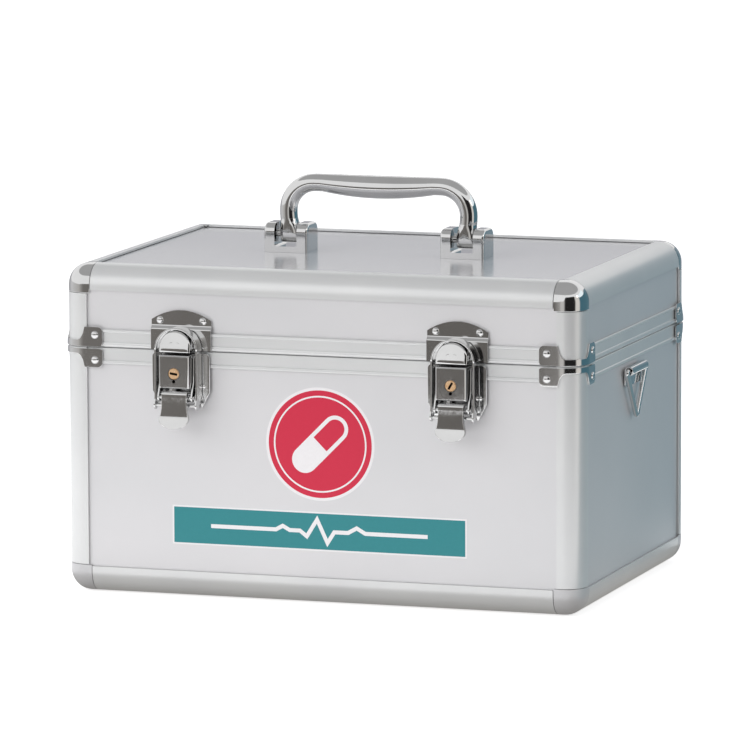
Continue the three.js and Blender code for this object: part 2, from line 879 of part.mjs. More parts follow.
// The lock's cylinder, centred on its axis, with its keyway and its cam.
function lockCylinder() {
  const rear = seatGap + latchPlateThickness + lockBackGap;
  const face = lockReach + cylinderProud;
  const plug = barAlongY(cylinderRadius, -face, -rear, 0, 0, boreFacets);
  const keyway = block(
    -keywayLength / 2,
    keywayLength / 2,
    -face - 1,
    keywayDepth - face,
    -keywayWidth / 2,
    keywayWidth / 2,
  );
  const cam = block(-camWidth / 2, camWidth / 2, -rear - camThickness, -rear, -camLength, 0);
  return plug.add(cam).subtract(keyway);
}

// The lever: a thumb tab that waists in, flares and flicks outwards, with a
// flange behind each side that carries the pivot pin and the loop's pin.
function latchLever() {
  const out = lockReach;
  const rear = out - tabThickness;
  const strip = new THREE.Shape();
  strip.moveTo(rear, -tabTopDrop);
  strip.lineTo(rear, -tabWaistDrop);
  strip.quadraticCurveTo(rear, -tabFlareDrop, rear + tabFlick, -tabBottomDrop);
  strip.lineTo(out + tabFlick, -tabBottomDrop);
  strip.quadraticCurveTo(out, -tabFlareDrop, out, -tabWaistDrop);
  strip.lineTo(out, -tabTopDrop - tabTopRounding);
  strip.quadraticCurveTo(out, -tabTopDrop, out - tabTopRounding, -tabTopDrop);
  strip.closePath();
  const top = tabTopWidth / 2;
  const neck = tabNeckWidth / 2;
  const flare = tabFlareWidth / 2;
  const face = new THREE.Shape();
  face.moveTo(-top, -tabTopDrop);
  face.lineTo(-neck, -tabNeckDrop);
  face.quadraticCurveTo(-neck, -tabFlareBend, -flare, -tabFlareDrop);
  face.absellipse(0, -tabFlareDrop, flare, tabBottomDrop - tabFlareDrop, Math.PI, 2 * Math.PI);
  face.quadraticCurveTo(neck, -tabFlareBend, neck, -tabNeckDrop);
  face.lineTo(top, -tabTopDrop);
  face.closePath();
  const tab = fronted(face, 0, 2 * out, archFacets).intersect(sided(strip, -flare, flare));
  const flanges = [-1, 1].map((side) =>
    block(
      Math.min(side * neck, side * (neck - latchPlateThickness)),
      Math.max(side * neck, side * (neck - latchPlateThickness)),
      -rear - tabThickness / 2,
      flangeBehindPivot - pivotReach,
      -flangeBottomDrop,
      -flangeTopDrop,
    ),
  );
  const pivotEnd = lockWidth / 2 + seatGap + earThickness + pivotProud;
  const pinEnd = loopRadius - loopPinSunk;
  const pivot = barAlongX(pivotRadius, -pivotEnd, pivotEnd, -pivotReach, -pivotDrop);
  const pin = barAlongX(loopPinRadius, -pinEnd, pinEnd, -loopPinReach, -loopPinDrop);
  return joined([tab, ...flanges, pivot, pin]);
}

// The loop: a bent strap that arches in front of the catch's boss, with a round
// foot at each end that turns on the lever's pin.
function latchLoop() {
  const rear = bossReach + loopPlay;
  const outer = archShape(loopRadius, loopCentreHeight, -loopPinDrop);
  const inner = archShape(loopRadius - loopWall, loopCentreHeight, -2 * loopPinDrop);
  const strap = fronted(outer, rear, loopReach, archFacets, loopRounding).subtract(
    fronted(inner, 0, 2 * loopReach, archFacets),
  );
  const feet = [-1, 1].map((side) => {
    const [a, b] = [side * loopRadius, side * (loopRadius - loopWall)];
    const [x0, x1] = [Math.min(a, b), Math.max(a, b)];
    return barAlongX(loopFootRadius, x0, x1, -loopPinReach, -loopPinDrop, boreFacets);
  });
  const boreEnd = loopRadius + 1;
  const bore = barAlongX(loopPinRadius + pinPlay, -boreEnd, boreEnd, -loopPinReach, -loopPinDrop);
  return joined([strap, ...feet]).subtract(bore);
}

const lockBox = new THREE.Group();
const base = new THREE.Group();
const lid = new THREE.Group();
lockBox.add(base, lid);

const basePanels = wallPanels(...baseOpen, 0);
const lidPanels = wallPanels(...lidOpen, 0);
for (const [place, solid] of Object.entries(basePanels)) {
  base.add(meshOf("base_" + place + "_panel", solid.subtract(bottomSeats), satinSheet));
}
for (const [place, solid] of Object.entries(lidPanels)) {
  lid.add(meshOf("lid_" + place + "_panel", solid.subtract(topSeats), satinSheet));
}

base.add(meshOf("base_bottom_panel", bottomPanel(), satinSheet));
base.add(meshOf("base_bottom_frame", bottomFrame(), aluminium));
base.add(meshOf("base_rim_frame", baseRim(), aluminium));
const basePost = cornerPost(baseOpen, baseOpen[0] + seatGap, seamHeight, baseSlots, bottomSeats);
atCorners(base, "base_corner_post", basePost, aluminium);
atCorners(base, "bottom_corner_cap", cornerCap(0, capLength), dullSteel);

lid.add(meshOf("lid_top_panel", topPanel(0).subtract(topSeats), satinSheet));
lid.add(meshOf("lid_top_frame", topFrame(), aluminium));
lid.add(meshOf("lid_rim_frame", lidRim(), aluminium));
const lidPost = cornerPost(lidOpen, lidLow, lidOpen[1] - seatGap, lidSlots, topSeats);
atCorners(lid, "lid_corner_post", lidPost, aluminium);
atCorners(lid, "top_corner_cap", cornerCap(caseHeight - capLength, caseHeight), chrome);

const lidBracketLow = seamHeight + strapSeamGap;
const baseBracketHigh = seamHeight - strapSeamGap;
const lidBracket = seamBracket(
  lidBracketLow,
  lidBracketLow + lidTabHeight,
  lidBracketLow,
  lidBracketLow + lidStrapHeight,
);
const baseBracket = seamBracket(
  baseBracketHigh - baseTabHeight,
  baseBracketHigh,
  baseBracketHigh - baseStrapHeight,
  baseBracketHigh,
);
atCorners(lid, "lid_seam_bracket", lidBracket, chrome);
atCorners(base, "base_seam_bracket", baseBracket, chrome);

const hingePin = barAlongX(hingePinRadius, -hingeLength / 2, hingeLength / 2, hingeAxisY, hingeAxisZ);
base.add(meshOf("hinge_base_leaf", hingeLeaf(-1, 0), dullSteel));
base.add(meshOf("hinge_pin", hingePin, dullSteel));
lid.add(meshOf("hinge_lid_leaf", hingeLeaf(1, 1), dullSteel));

for (const [place, side, keyTurn] of [["left", -1, leftKeyTurn], ["right", 1, rightKeyTurn]]) {
  const bracket = meshOf("handle_bracket_" + place, handleBracket(), chrome);
  bracket.position.set((side * handleSpan) / 2, 0, panelTop);
  lid.add(bracket);

  const endFitting = new THREE.Group();
  const sleeveReach = ringWireRadius + pinPlay + ringSleeveWall + seatGap - panelRecess;
  endFitting.position.set(side * (caseWidth / 2 + sleeveReach), ringCentreY, ringHeight);
  endFitting.scale.set(side, 1, 1);
  endFitting.add(meshOf("side_ring_plate_" + place, ringPlate(), chrome));
  endFitting.add(meshOf("side_ring_" + place, sideRing(), chrome));
  base.add(endFitting);

  const latch = new THREE.Group();
  latch.position.set((side * latchSpacing) / 2, -caseDepth / 2, seamHeight);
  const cylinder = meshOf("lock_cylinder_" + place, lockCylinder(), brass);
  cylinder.position.set(0, 0, -cylinderDrop);
  cylinder.rotation.set(0, THREE.MathUtils.degToRad(keyTurn), 0);
  latch.add(meshOf("latch_catch_" + place, latchCatch(), chrome));
  latch.add(meshOf("latch_base_" + place, latchFooting(), chrome));
  latch.add(meshOf("lock_body_" + place, lockBody(), chrome));
  latch.add(meshOf("latch_lever_" + place, latchLever(), chrome));
  latch.add(meshOf("latch_loop_" + place, latchLoop(), chrome));
  latch.add(cylinder);
  lockBox.add(latch);
}

const bow = meshOf("handle", handle(), chrome);
bow.position.set(0, 0, panelTop + handlePivotHeight);
lockBox.add(bow);

export default lockBox;
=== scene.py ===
"""A medicine lock box: aluminium panels in satin extrusions, with chromed hardware.

Sizes in the classes are millimetres in the part's own frame; meshes are metres.
"""

import logging
import math
from collections.abc import Callable, Sequence
from dataclasses import dataclass, field, replace
from enum import Enum
from functools import cache

import bmesh
import bpy
from mathutils import Matrix, Vector


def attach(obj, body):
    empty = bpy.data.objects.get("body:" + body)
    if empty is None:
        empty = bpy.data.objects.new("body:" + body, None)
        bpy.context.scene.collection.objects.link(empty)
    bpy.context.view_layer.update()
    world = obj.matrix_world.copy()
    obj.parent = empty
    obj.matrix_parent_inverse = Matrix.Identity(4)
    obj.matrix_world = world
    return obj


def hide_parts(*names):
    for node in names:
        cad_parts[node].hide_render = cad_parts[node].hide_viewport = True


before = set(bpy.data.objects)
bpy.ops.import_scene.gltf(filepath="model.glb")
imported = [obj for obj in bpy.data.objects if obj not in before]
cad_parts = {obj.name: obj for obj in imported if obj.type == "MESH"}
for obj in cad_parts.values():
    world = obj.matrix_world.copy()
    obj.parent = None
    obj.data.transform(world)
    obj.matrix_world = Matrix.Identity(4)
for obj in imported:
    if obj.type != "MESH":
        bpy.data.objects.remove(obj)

Point2 = tuple[float, float]
Point3 = tuple[float, float, float]
Colour = tuple[float, float, float, float]
Socket = bpy.types.NodeSocket
Tree = bpy.types.NodeTree

MM = 0.001
SMOOTH_ANGLE = math.radians(38)
EDGE_ANGLE = math.radians(40)
# Radius in millimetres of a corner that stays sharp, and the power of a round outline.
CRISP = 0.1
ROUND = 2.0
log = logging.getLogger("lock_box")


def linear(hex_colour: str) -> Colour:
    """Turns an sRGB hex colour to linear values with full opacity.

    Args:
        hex_colour: A hash and six hex digits.

    Returns:
        The linear red, green, blue and alpha.
    """
    parts = [int(hex_colour[i : i + 2], 16) / 255 for i in (1, 3, 5)]
    light = [c / 12.92 if c <= 0.04045 else ((c + 0.055) / 1.055) ** 2.4 for c in parts]
    return (*light, 1.0)


# Nodes


def add_node(tree: Tree, kind: str, values: dict | None = None, **settings) -> bpy.types.Node:
    """Adds a node, sets its properties and fills or links its inputs.

    Args:
        tree: The tree that gets the node.
        kind: The node's type name.
        values: Input names or numbers, each with a value or an output to link.
        **settings: Properties of the node itself.

    Returns:
        The new node.
    """
    node = tree.nodes.new(kind)
    for key, value in settings.items():
        setattr(node, key, value)
    for key, value in (values or {}).items():
        if isinstance(value, Socket):
            tree.links.new(value, node.inputs[key])
        else:
            node.inputs[key].default_value = value
    return node


def computed(tree: Tree, operation: str, first: Socket, second: Socket | float = 0.0) -> Socket:
    """Adds a math node for one value or two, and gives its output."""
    return add_node(tree, "ShaderNodeMath", {0: first, 1: second}, operation=operation).outputs[0]


def eased(tree: Tree, value: Socket, low: float, high: Socket | float) -> Socket:
    """Adds a node that rises smoothly from 0 to 1 between two limits of a value."""
    limits = {"Value": value, "From Min": low, "From Max": high}
    return add_node(tree, "ShaderNodeMapRange", limits, interpolation_type="SMOOTHSTEP").outputs[0]


def mixed(tree: Tree, factor: Socket, first: Socket | str, second: Socket | str) -> Socket:
    """Adds a node that mixes two colours.

    Args:
        tree: The tree that gets it.
        factor: The share of the second colour.
        first: An output or a hex colour.
        second: Another.

    Returns:
        Its output.
    """
    ends = [linear(end) if isinstance(end, str) else end for end in (first, second)]
    values = {0: factor, 6: ends[0], 7: ends[1]}
    return add_node(tree, "ShaderNodeMix", values, data_type="RGBA").outputs[2]


def noise(tree: Tree, place: Socket, scale: float, detail: float, roughness: float) -> Socket:
    """Adds a noise texture at a place's coordinates, and gives its output."""
    values = {"Vector": place, "Scale": scale, "Detail": detail, "Roughness": roughness}
    return add_node(tree, "ShaderNodeTexNoise", values).outputs[0]


def bare_tree(owner: bpy.types.Material | bpy.types.World) -> Tree:
    """Switches an owner's nodes on and clears them.

    Args:
        owner: The material or world.

    Returns:
        Its empty tree.
    """
    owner.use_nodes = True
    owner.node_tree.nodes.clear()
    return owner.node_tree


# Finishes


@dataclass(frozen=True, kw_only=True)
class Finish:
    """A surface with two close tones, and a roughness that follows its grain.

    grain_limits are the values of the grain between which the roughness changes.
    """

    name: str
    slot: str
    colour: str
    shade: str
    roughness: float
    grain_depth: float
    roughness_spread: float = 0.06
    grain_limits: Point2 = (0.0, 1.0)
    metallic: float = 0.0

    def patterns(self, tree: Tree, place: Socket) -> tuple[Socket, Socket]:
        """Makes the grain, and the tint between both tones."""
        raise NotImplementedError

    def build(self) -> bpy.types.Material:
        """Builds the material.

        Returns:
            The new material.
        """
        material = bpy.data.materials.new(self.name)
        material.use_nodes = True
        tree = material.node_tree
        place = add_node(tree, "ShaderNodeTexCoord").outputs["Object"]
        grain, tint = self.patterns(tree, place)
        bump = {"Height": grain, "Strength": 1.0, "Distance": self.grain_depth * MM}
        rough = {
            "Value": grain,
            "From Min": self.grain_limits[0],
            "From Max": self.grain_limits[1],
            "To Min": self.roughness - self.roughness_spread,
            "To Max": self.roughness + self.roughness_spread,
        }
        links = {
            "Base Color": mixed(tree, tint, self.colour, self.shade),
            "Roughness": add_node(tree, "ShaderNodeMapRange", rough).outputs[0],
            "Normal": add_node(tree, "ShaderNodeBump", bump).outputs[0],
        }
        shader = tree.nodes["Principled BSDF"]
        for name, output in links.items():
            tree.links.new(output, shader.inputs[name])
        shader.inputs["Metallic"].default_value = self.metallic
        return material


@dataclass(frozen=True, kw_only=True)
class MetalFinish(Finish):
    """A metal surface with fine grain, faint clouding and tiny wear.

    grain is the spacing of the grain in millimetres along x, y and z, drawn
    a little coarser than the real one so that it shows.
    """

    grain: Point3
    cloud_size: float
    grain_limits: Point2 = (0.25, 0.75)
    metallic: float = 1.0

    def patterns(self, tree: Tree, place: Socket) -> tuple[Socket, Socket]:
        """Stretches the grain along its own directions and clouds the tint.

        Args:
            tree: The material's tree.
            place: The object's coordinates.

        Returns:
            The grain and the tint.
        """
        stretch = [1 / (size * MM) for size in self.grain]
        fine = add_node(tree, "ShaderNodeMapping", {"Vector": place, "Scale": stretch}).outputs[0]
        cloud = noise(tree, place, 1 / (self.cloud_size * MM), 4.0, 0.5)
        tint = {"Value": cloud, "From Min": 0.3, "From Max": 0.7}
        clouded = add_node(tree, "ShaderNodeMapRange", tint).outputs[0]
        return noise(tree, fine, 1.0, 2.0, 0.55), clouded


@dataclass(frozen=True, kw_only=True)
class CoatFinish(Finish):
    """A printed ink or a soft foam: a coloured coat with grain and no metal."""

    grain_size: float

    def patterns(self, tree: Tree, place: Socket) -> tuple[Socket, Socket]:
        """Lets one even grain carry the tint as well."""
        grain = noise(tree, place, 1 / (self.grain_size * MM), 3.0, 0.6)
        return grain, grain


# Thin aluminium sheet with a clear satin lacquer: an even pale grey that
# spreads its highlights widely.
SATIN_SHEET = MetalFinish(
    name="satin_aluminium_sheet",
    slot="satin_panel",
    colour="#dcdbdd",
    shade="#d6d6d8",
    roughness=0.42,
    roughness_spread=0.03,
    grain=(3.0, 3.0, 0.35),
    grain_depth=0.004,
    cloud_size=90,
    metallic=0.5,
)
# The same sheet on the lid's top, polished by cases stacked on it.
GLOSSY_SHEET = replace(
    SATIN_SHEET,
    name="glossy_aluminium_sheet",
    colour="#d6d6d8",
    shade="#d1d1d4",
    roughness=0.2,
    roughness_spread=0.02,
    grain_depth=0.0008,
)
# Extruded aluminium, etched and anodised: soft wide highlights along the edges.
ANODISED = MetalFinish(
    name="anodised_aluminium_extrusion",
    slot="anodised_extrusion",
    colour="#dcdddd",
    shade="#d4d5d6",
    roughness=0.32,
    roughness_spread=0.03,
    grain=(0.5, 0.5, 0.5),
    grain_depth=0.003,
    cloud_size=60,
    metallic=0.45,
)
# Bright chrome plate on pressed steel: mirror sharp, with faint handling haze.
CHROME = MetalFinish(
    name="chrome_plated_steel",
    slot="chrome",
    colour="#dddddd",
    shade="#d3d3d3",
    roughness=0.06,
    roughness_spread=0.02,
    grain=(2.0, 2.0, 2.0),
    grain_depth=0.001,
    cloud_size=25,
)
# Dull nickel plate on pressed steel, tumbled: a soft grey without reflections.
DULL_NICKEL = MetalFinish(
    name="dull_nickel_plated_steel",
    slot="matte_steel",
    colour="#cfcfd1",
    shade="#c6c6c8",
    roughness=0.4,
    roughness_spread=0.05,
    grain=(0.6, 0.6, 0.6),
    grain_depth=0.004,
    cloud_size=20,
    metallic=0.45,
)
# Turned brass, tarnished a little by handling.
BRASS = MetalFinish(
    name="turned_brass",
    slot="brass",
    colour="#eccaa4",
    shade="#c99d6e",
    roughness=0.3,
    roughness_spread=0.06,
    grain=(0.3, 0.3, 0.3),
    grain_depth=0.01,
    cloud_size=2.5,
    metallic=0.7,
)
# Bare steel inside drilled holes and keyways, coloured near black as painted shade deep in the
# holes.
BARE_STEEL_AND_PAINTED_SHADE = MetalFinish(
    name="bare_steel_with_painted_shade",
    slot="matte_steel",
    colour="#2b2825",
    shade="#1d1b19",
    roughness=0.55,
    roughness_spread=0.06,
    grain=(0.4, 0.4, 0.4),
    grain_depth=0.01,
    cloud_size=3,
)
# Screen-printed vinyl inks: flat colour with a faint satin tooth.
RED_INK = CoatFinish(
    name="screen_printed_red_ink",
    slot="printed_red",
    colour="#cc1f41",
    shade="#c61d3e",
    roughness=0.4,
    grain_depth=0.004,
    grain_size=1.5,
)
TEAL_INK = replace(
    RED_INK,
    name="screen_printed_teal_ink",
    slot="printed_teal",
    colour="#28848a",
    shade="#257e84",
)
PALE_INK = replace(
    RED_INK,
    name="screen_printed_pale_ink",
    slot="printed_pale",
    colour="#eceaec",
    shade="#e4e2e4",
)
# Closed-skin foam sheet, glued inside the case: dark and without gloss.
FOAM = CoatFinish(
    name="closed_skin_foam",
    slot="lining",
    colour="#4a4c51",
    shade="#3c3e43",
    roughness=0.8,
    grain_depth=0.12,
    grain_size=0.9,
)


@cache
def material_of(finish: Finish) -> bpy.types.Material:
    """Gives a finish's material, built once."""
    return finish.build()


# Outlines and drafts


def circle(steps: int) -> list[float]:
    """Evenly spaced angles of a full turn, in radians."""
    return [2 * math.pi * k / steps for k in range(steps)]


def arc(centre: Point2, radius: float, start: float, end: float, steps: int) -> list[Point2]:
    """The steps + 1 points of an arc between two angles in degrees."""
    angles = [math.radians(start + (end - start) * i / steps) for i in range(steps + 1)]
    return [(centre[0] + radius * math.cos(a), centre[1] + radius * math.sin(a)) for a in angles]


def rounded_rectangle(
    a0: float, a1: float, b0: float, b1: float, radii: Sequence[float], steps: int = 6
) -> list[Point2]:
    """A rectangle with its own radius at each corner.

    Args:
        a0: Lowest first coordinate.
        a1: Highest first coordinate.
        b0: Lowest second coordinate.
        b1: Highest second coordinate.
        radii: Radii of the corners a0b0, a1b0, a1b1 and a0b1.
        steps: Steps of each corner.

    Returns:
        The outline.
    """
    corners = ((a0, 1, b0, 1), (a1, -1, b0, 1), (a1, -1, b1, -1), (a0, 1, b1, -1))
    made = []
    for k, ((a, in_a, b, in_b), radius) in enumerate(zip(corners, radii)):
        start = (180, 270, 0, 90)[k]
        centre = (a + in_a * radius, b + in_b * radius)
        made += arc(centre, radius, start, start + 90, steps)
    return made


def turned(outline: Sequence[Point2], degrees: float) -> list[Point2]:
    """Turns an outline about its origin."""
    c, s = math.cos(math.radians(degrees)), math.sin(math.radians(degrees))
    return [(x * c - z * s, x * s + z * c) for x, z in outline]


def bezier(p0: Vector, p1: Vector, p2: Vector, p3: Vector, steps: int) -> list[Vector]:
    """Points on a cubic curve, without its first point.

    Args:
        p0: Start.
        p1: First handle.
        p2: Second handle.
        p3: End.
        steps: Number of points.

    Returns:
        The points.
    """
    made = []
    for i in range(1, steps + 1):
        t = i / steps
        s = 1 - t
        made.append(p0 * s**3 + p1 * (3 * s * s * t) + p2 * (3 * s * t * t) + p3 * t**3)
    return made


def smooth_step(share: float) -> float:
    """Eases a share from 0 to 1."""
    return share * share * (3 - 2 * share)


@dataclass
class Draft:
    """The points and faces of one piece, in millimetres."""

    points: list[Point3] = field(default_factory=list)
    faces: list[tuple[int, ...]] = field(default_factory=list)

    def loft(self, loops: Sequence[Sequence[Sequence[float]]], ring: bool = False) -> "Draft":
        """Skins a row of closed loops that have equally many points.

        Args:
            loops: The loops, in order.
            ring: Whether the last loop joins the first; if not, both ends are closed.

        Returns:
            This draft.
        """
        start, count, rows = len(self.points), len(loops[0]), len(loops)
        for loop in loops:
            self.points.extend(tuple(p) for p in loop)
        for row in range(rows if ring else rows - 1):
            a, b = start + row * count, start + ((row + 1) % rows) * count
            for i in range(count):
                j = (i + 1) % count
                self.faces.append((a + i, a + j, b + j, b + i))
        if not ring:
            last = start + (rows - 1) * count
            self.faces += [tuple(range(end, end + count)) for end in (start, last)]
        return self

    def slab(
        self,
        outline: Sequence[Point2],
        place: Callable[[float, float, float], Point3],
        d0: float,
        d1: float,
    ) -> "Draft":
        """Raises a flat outline to a slab between two depths, which place sets in space."""
        return self.loft([[place(a, b, d) for a, b in outline] for d in (d0, d1)])

    def bar(
        self,
        start: Sequence[float],
        end: Sequence[float],
        radius: float,
        steps: int = 24,
        bevel: float = 0.0,
    ) -> "Draft":
        """Adds a round bar between two points, with its ends chamfered.

        Args:
            start: The middle of one end.
            end: The middle of the other end.
            radius: The bar's radius.
            steps: Sides of the bar.
            bevel: Size of the chamfer at both ends.

        Returns:
            This draft.
        """
        a, b = Vector(start), Vector(end)
        along = (b - a).normalized()
        across = along.orthogonal().normalized()
        other = along.cross(across)
        length = (b - a).length
        stations = [(0.0, radius), (1.0, radius)]
        if bevel > 0:
            share = bevel / length
            stations = [(0.0, radius - bevel), (share, radius)]
            stations += [(1 - share, radius), (1.0, radius - bevel)]
        loops = []
        for t, r in stations:
            middle = a + along * (length * t)
            spokes = [across * math.cos(w) + other * math.sin(w) for w in circle(steps)]
            loops.append([middle + spoke * r for spoke in spokes])
        return self.loft(loops)

    def tube(
        self, path: Sequence[Vector], radius: float, steps: int, ring: bool = False
    ) -> "Draft":
        """Adds a round tube along a path that lies in one upright plane.

        Args:
            path: The points of the centre line.
            radius: The tube's radius.
            steps: Sides of the tube.
            ring: Whether the path closes on itself.

        Returns:
            This draft.
        """
        count = len(path)
        normal = Vector((0, 0, 0))
        for i in range(1, count - 1):
            normal += (path[i] - path[i - 1]).cross(path[i + 1] - path[i])
        normal.normalize()
        loops = []
        for i, point in enumerate(path):
            before = path[(i - 1) % count] if ring or i else point
            after = path[(i + 1) % count] if ring or i < count - 1 else point
            side = normal.cross((after - before).normalized()).normalized()
            spokes = [side * math.cos(w) + normal * math.sin(w) for w in circle(steps)]
            loops.append([point + spoke * radius for spoke in spokes])
        return self.loft(loops, ring)


# Pieces


def link_object(name: str, mesh: bpy.types.Mesh) -> bpy.types.Object:
    """Puts a mesh in the scene.

    Args:
        name: The object's name.
        mesh: Its mesh.

    Returns:
        The object.
    """
    obj = bpy.data.objects.new(name, mesh)
    bpy.context.scene.collection.objects.link(obj)
    return obj


def plain_mesh(obj: bpy.types.Object) -> None:
    """Takes an object's modifiers into its mesh and removes them.

    Args:
        obj: The object.
    """
    graph = bpy.context.evaluated_depsgraph_get()
    made = bpy.data.meshes.new_from_object(
        obj.evaluated_get(graph), preserve_all_data_layers=True, depsgraph=graph
    )
    obj.modifiers.clear()
    old, obj.data = obj.data, made
    made.name = obj.name
    bpy.data.meshes.remove(old)


def object_of(name: str, draft: Draft, finish: Finish) -> bpy.types.Object:
    """Makes an object in metres from a draft, with its faces outwards.

    Args:
        name: The object's name.
        draft: The draft.
        finish: Its finish.

    Returns:
        The object.
    """
    mesh = bpy.data.meshes.new(name)
    mesh.from_pydata([tuple(c * MM for c in p) for p in draft.points], [], draft.faces)
    work = bmesh.new()
    work.from_mesh(mesh)
    bmesh.ops.remove_doubles(work, verts=work.verts, dist=0.004 * MM)
    bmesh.ops.dissolve_degenerate(work, edges=work.edges, dist=0.002 * MM)
    bmesh.ops.recalc_face_normals(work, faces=work.faces)
    work.to_mesh(mesh)
    work.free()
    mesh.materials.append(material_of(finish))
    return link_object(name, mesh)


def mount(obj: bpy.types.Object, body: str, finish: Finish) -> None:
    """Sets a finished piece on its body.

    Args:
        obj: The piece.
        body: The body that it moves with.
        finish: Not used.
    """
    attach(obj, body)
    log.info("%s: %d faces on %s", obj.name, len(obj.data.polygons), body)


def piece(
    name: str,
    draft: Draft,
    body: str,
    finish: Finish,
    node: str | None = None,
    bevel: float = 0.0,
    cuts: Sequence[Draft] = (),
    bevel_steps: int = 2,
    cut_finish: Finish | None = None,
) -> None:
    """Makes a finished piece and sets it on its body.

    Args:
        name: The piece's name.
        draft: Its points and faces.
        body: The body that it moves with.
        finish: Its finish.
        node: The CAD node that it stands for.
        bevel: Width of the rounding of its sharp edges, in millimetres.
        cuts: Closed drafts that are cut out of it.
        bevel_steps: Steps of that rounding.
        cut_finish: Finish of the cut faces, if not the piece's own.
    """
    obj = object_of(name, draft, finish)
    tools = [object_of(name + "_cut", cut, cut_finish or finish) for cut in cuts]
    for tool in tools:
        cutter = obj.modifiers.new("cut", "BOOLEAN")
        cutter.operation = "DIFFERENCE"
        cutter.solver = "EXACT"
        cutter.material_mode = "TRANSFER"
        cutter.object = tool
    if bevel > 0:
        edge = obj.modifiers.new("edges", "BEVEL")
        edge.width = bevel * MM
        edge.segments = bevel_steps
        edge.limit_method = "ANGLE"
        edge.angle_limit = EDGE_ANGLE
    plain_mesh(obj)
    for tool in tools:
        bpy.data.meshes.remove(tool.data)
    obj.data.shade_smooth()
    obj.data.set_sharp_from_angle(angle=SMOOTH_ANGLE)
    obj.modifiers.new("normals", "WEIGHTED_NORMAL").keep_sharp = True
    plain_mesh(obj)
    mount(obj, body, finish)
    if node:
        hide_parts(node)


# Repeated pieces


class Repeat:
    """A geometry tree that sets one shape many times."""

    def __init__(self, name: str, **inputs: str) -> None:
        """Starts the tree.

        Args:
            name: The tree's name.
            **inputs: The kind of each input.
        """
        self.tree = bpy.data.node_groups.new(name, "GeometryNodeTree")
        sockets = self.tree.interface
        for side in ("INPUT", "OUTPUT"):
            sockets.new_socket("Geometry", in_out=side, socket_type="NodeSocketGeometry")
        self.keys = {}
        for label, kind in {**inputs, "Material": "Material"}.items():
            added = sockets.new_socket(label, in_out="INPUT", socket_type=f"NodeSocket{kind}")
            self.keys[label] = added.identifier
        self.source = self.tree.nodes.new("NodeGroupInput").outputs

    def close(self, points: Socket, shape: Socket, **values: object) -> None:
        """Ends the tree in real, shaded faces that carry their material.

        Args:
            points: Where the shape is set.
            shape: The shape.
            **values: The rotation and the scale.
        """
        spots = {"Points": points, "Instance": shape, **values}
        flow = add_node(self.tree, "GeometryNodeInstanceOnPoints", spots)
        for kind in ("RealizeInstances", "SetShadeSmooth", "SetMaterial"):
            flow = add_node(self.tree, f"GeometryNode{kind}", {0: flow.outputs[0]})
        self.tree.links.new(self.source["Material"], flow.inputs["Material"])
        add_node(self.tree, "NodeGroupOutput", {0: flow.outputs[0]})

    def grow(self, seeds: bpy.types.Mesh, finish: Finish, **values: object) -> bpy.types.Object:
        """Runs the tree on a seed mesh and keeps the plain result.

        Args:
            seeds: The seed mesh, with the object's name.
            finish: The finish.
            **values: The inputs' values.

        Returns:
            The object with the finished mesh.
        """
        obj = link_object(seeds.name, seeds)
        modifier = obj.modifiers.new("grow", "NODES")
        modifier.node_group = self.tree
        for label, value in {**values, "Material": material_of(finish)}.items():
            modifier[self.keys[label]] = value
        plain_mesh(obj)
        return obj


class RivetSetter(Repeat):
    """Sets domed rivet heads on plates: one flattened ball a point, half sunk."""

    def __init__(self) -> None:
        """Builds the tree."""
        super().__init__("rivet_heads", Radius="Float", Height="Float")
        tree, source = self.tree, self.source
        size = {"Segments": 24, "Rings": 12, "Radius": source["Radius"]}
        ball = add_node(tree, "GeometryNodeMeshUVSphere", size)
        flat = computed(tree, "DIVIDE", source["Height"], source["Radius"])
        shape = add_node(tree, "ShaderNodeCombineXYZ", {0: 1.0, 1: 1.0, 2: flat})
        facing = add_node(
            tree,
            "GeometryNodeInputNamedAttribute",
            {"Name": "facing"},
            data_type="FLOAT_VECTOR",
        )
        outwards = {"Vector": facing.outputs[0]}
        turn = add_node(tree, "FunctionNodeAlignRotationToVector", outwards, axis="Z")
        self.close(
            source["Geometry"],
            ball.outputs[0],
            Rotation=turn.outputs[0],
            Scale=shape.outputs[0],
        )

    def set(
        self,
        name: str,
        body: str,
        places: Sequence[tuple[Point3, Point3]],
        radius: float,
        height: float,
        finish: Finish,
    ) -> None:
        """Sets rivet heads.

        Args:
            name: The piece's name.
            body: The body that they move with.
            places: The foot and the outward direction of each.
            radius: Radius of a head, in millimetres.
            height: Height of a head, in millimetres.
            finish: Their finish.
        """
        seeds = bpy.data.meshes.new(name)
        seeds.from_pydata([tuple(c * MM for c in p) for p, _ in places], [], [])
        facing = seeds.attributes.new("facing", "FLOAT_VECTOR", "POINT")
        facing.data.foreach_set("vector", [c for _, d in places for c in d])
        obj = self.grow(seeds, finish, Radius=radius * MM, Height=height * MM)
        mount(obj, body, finish)


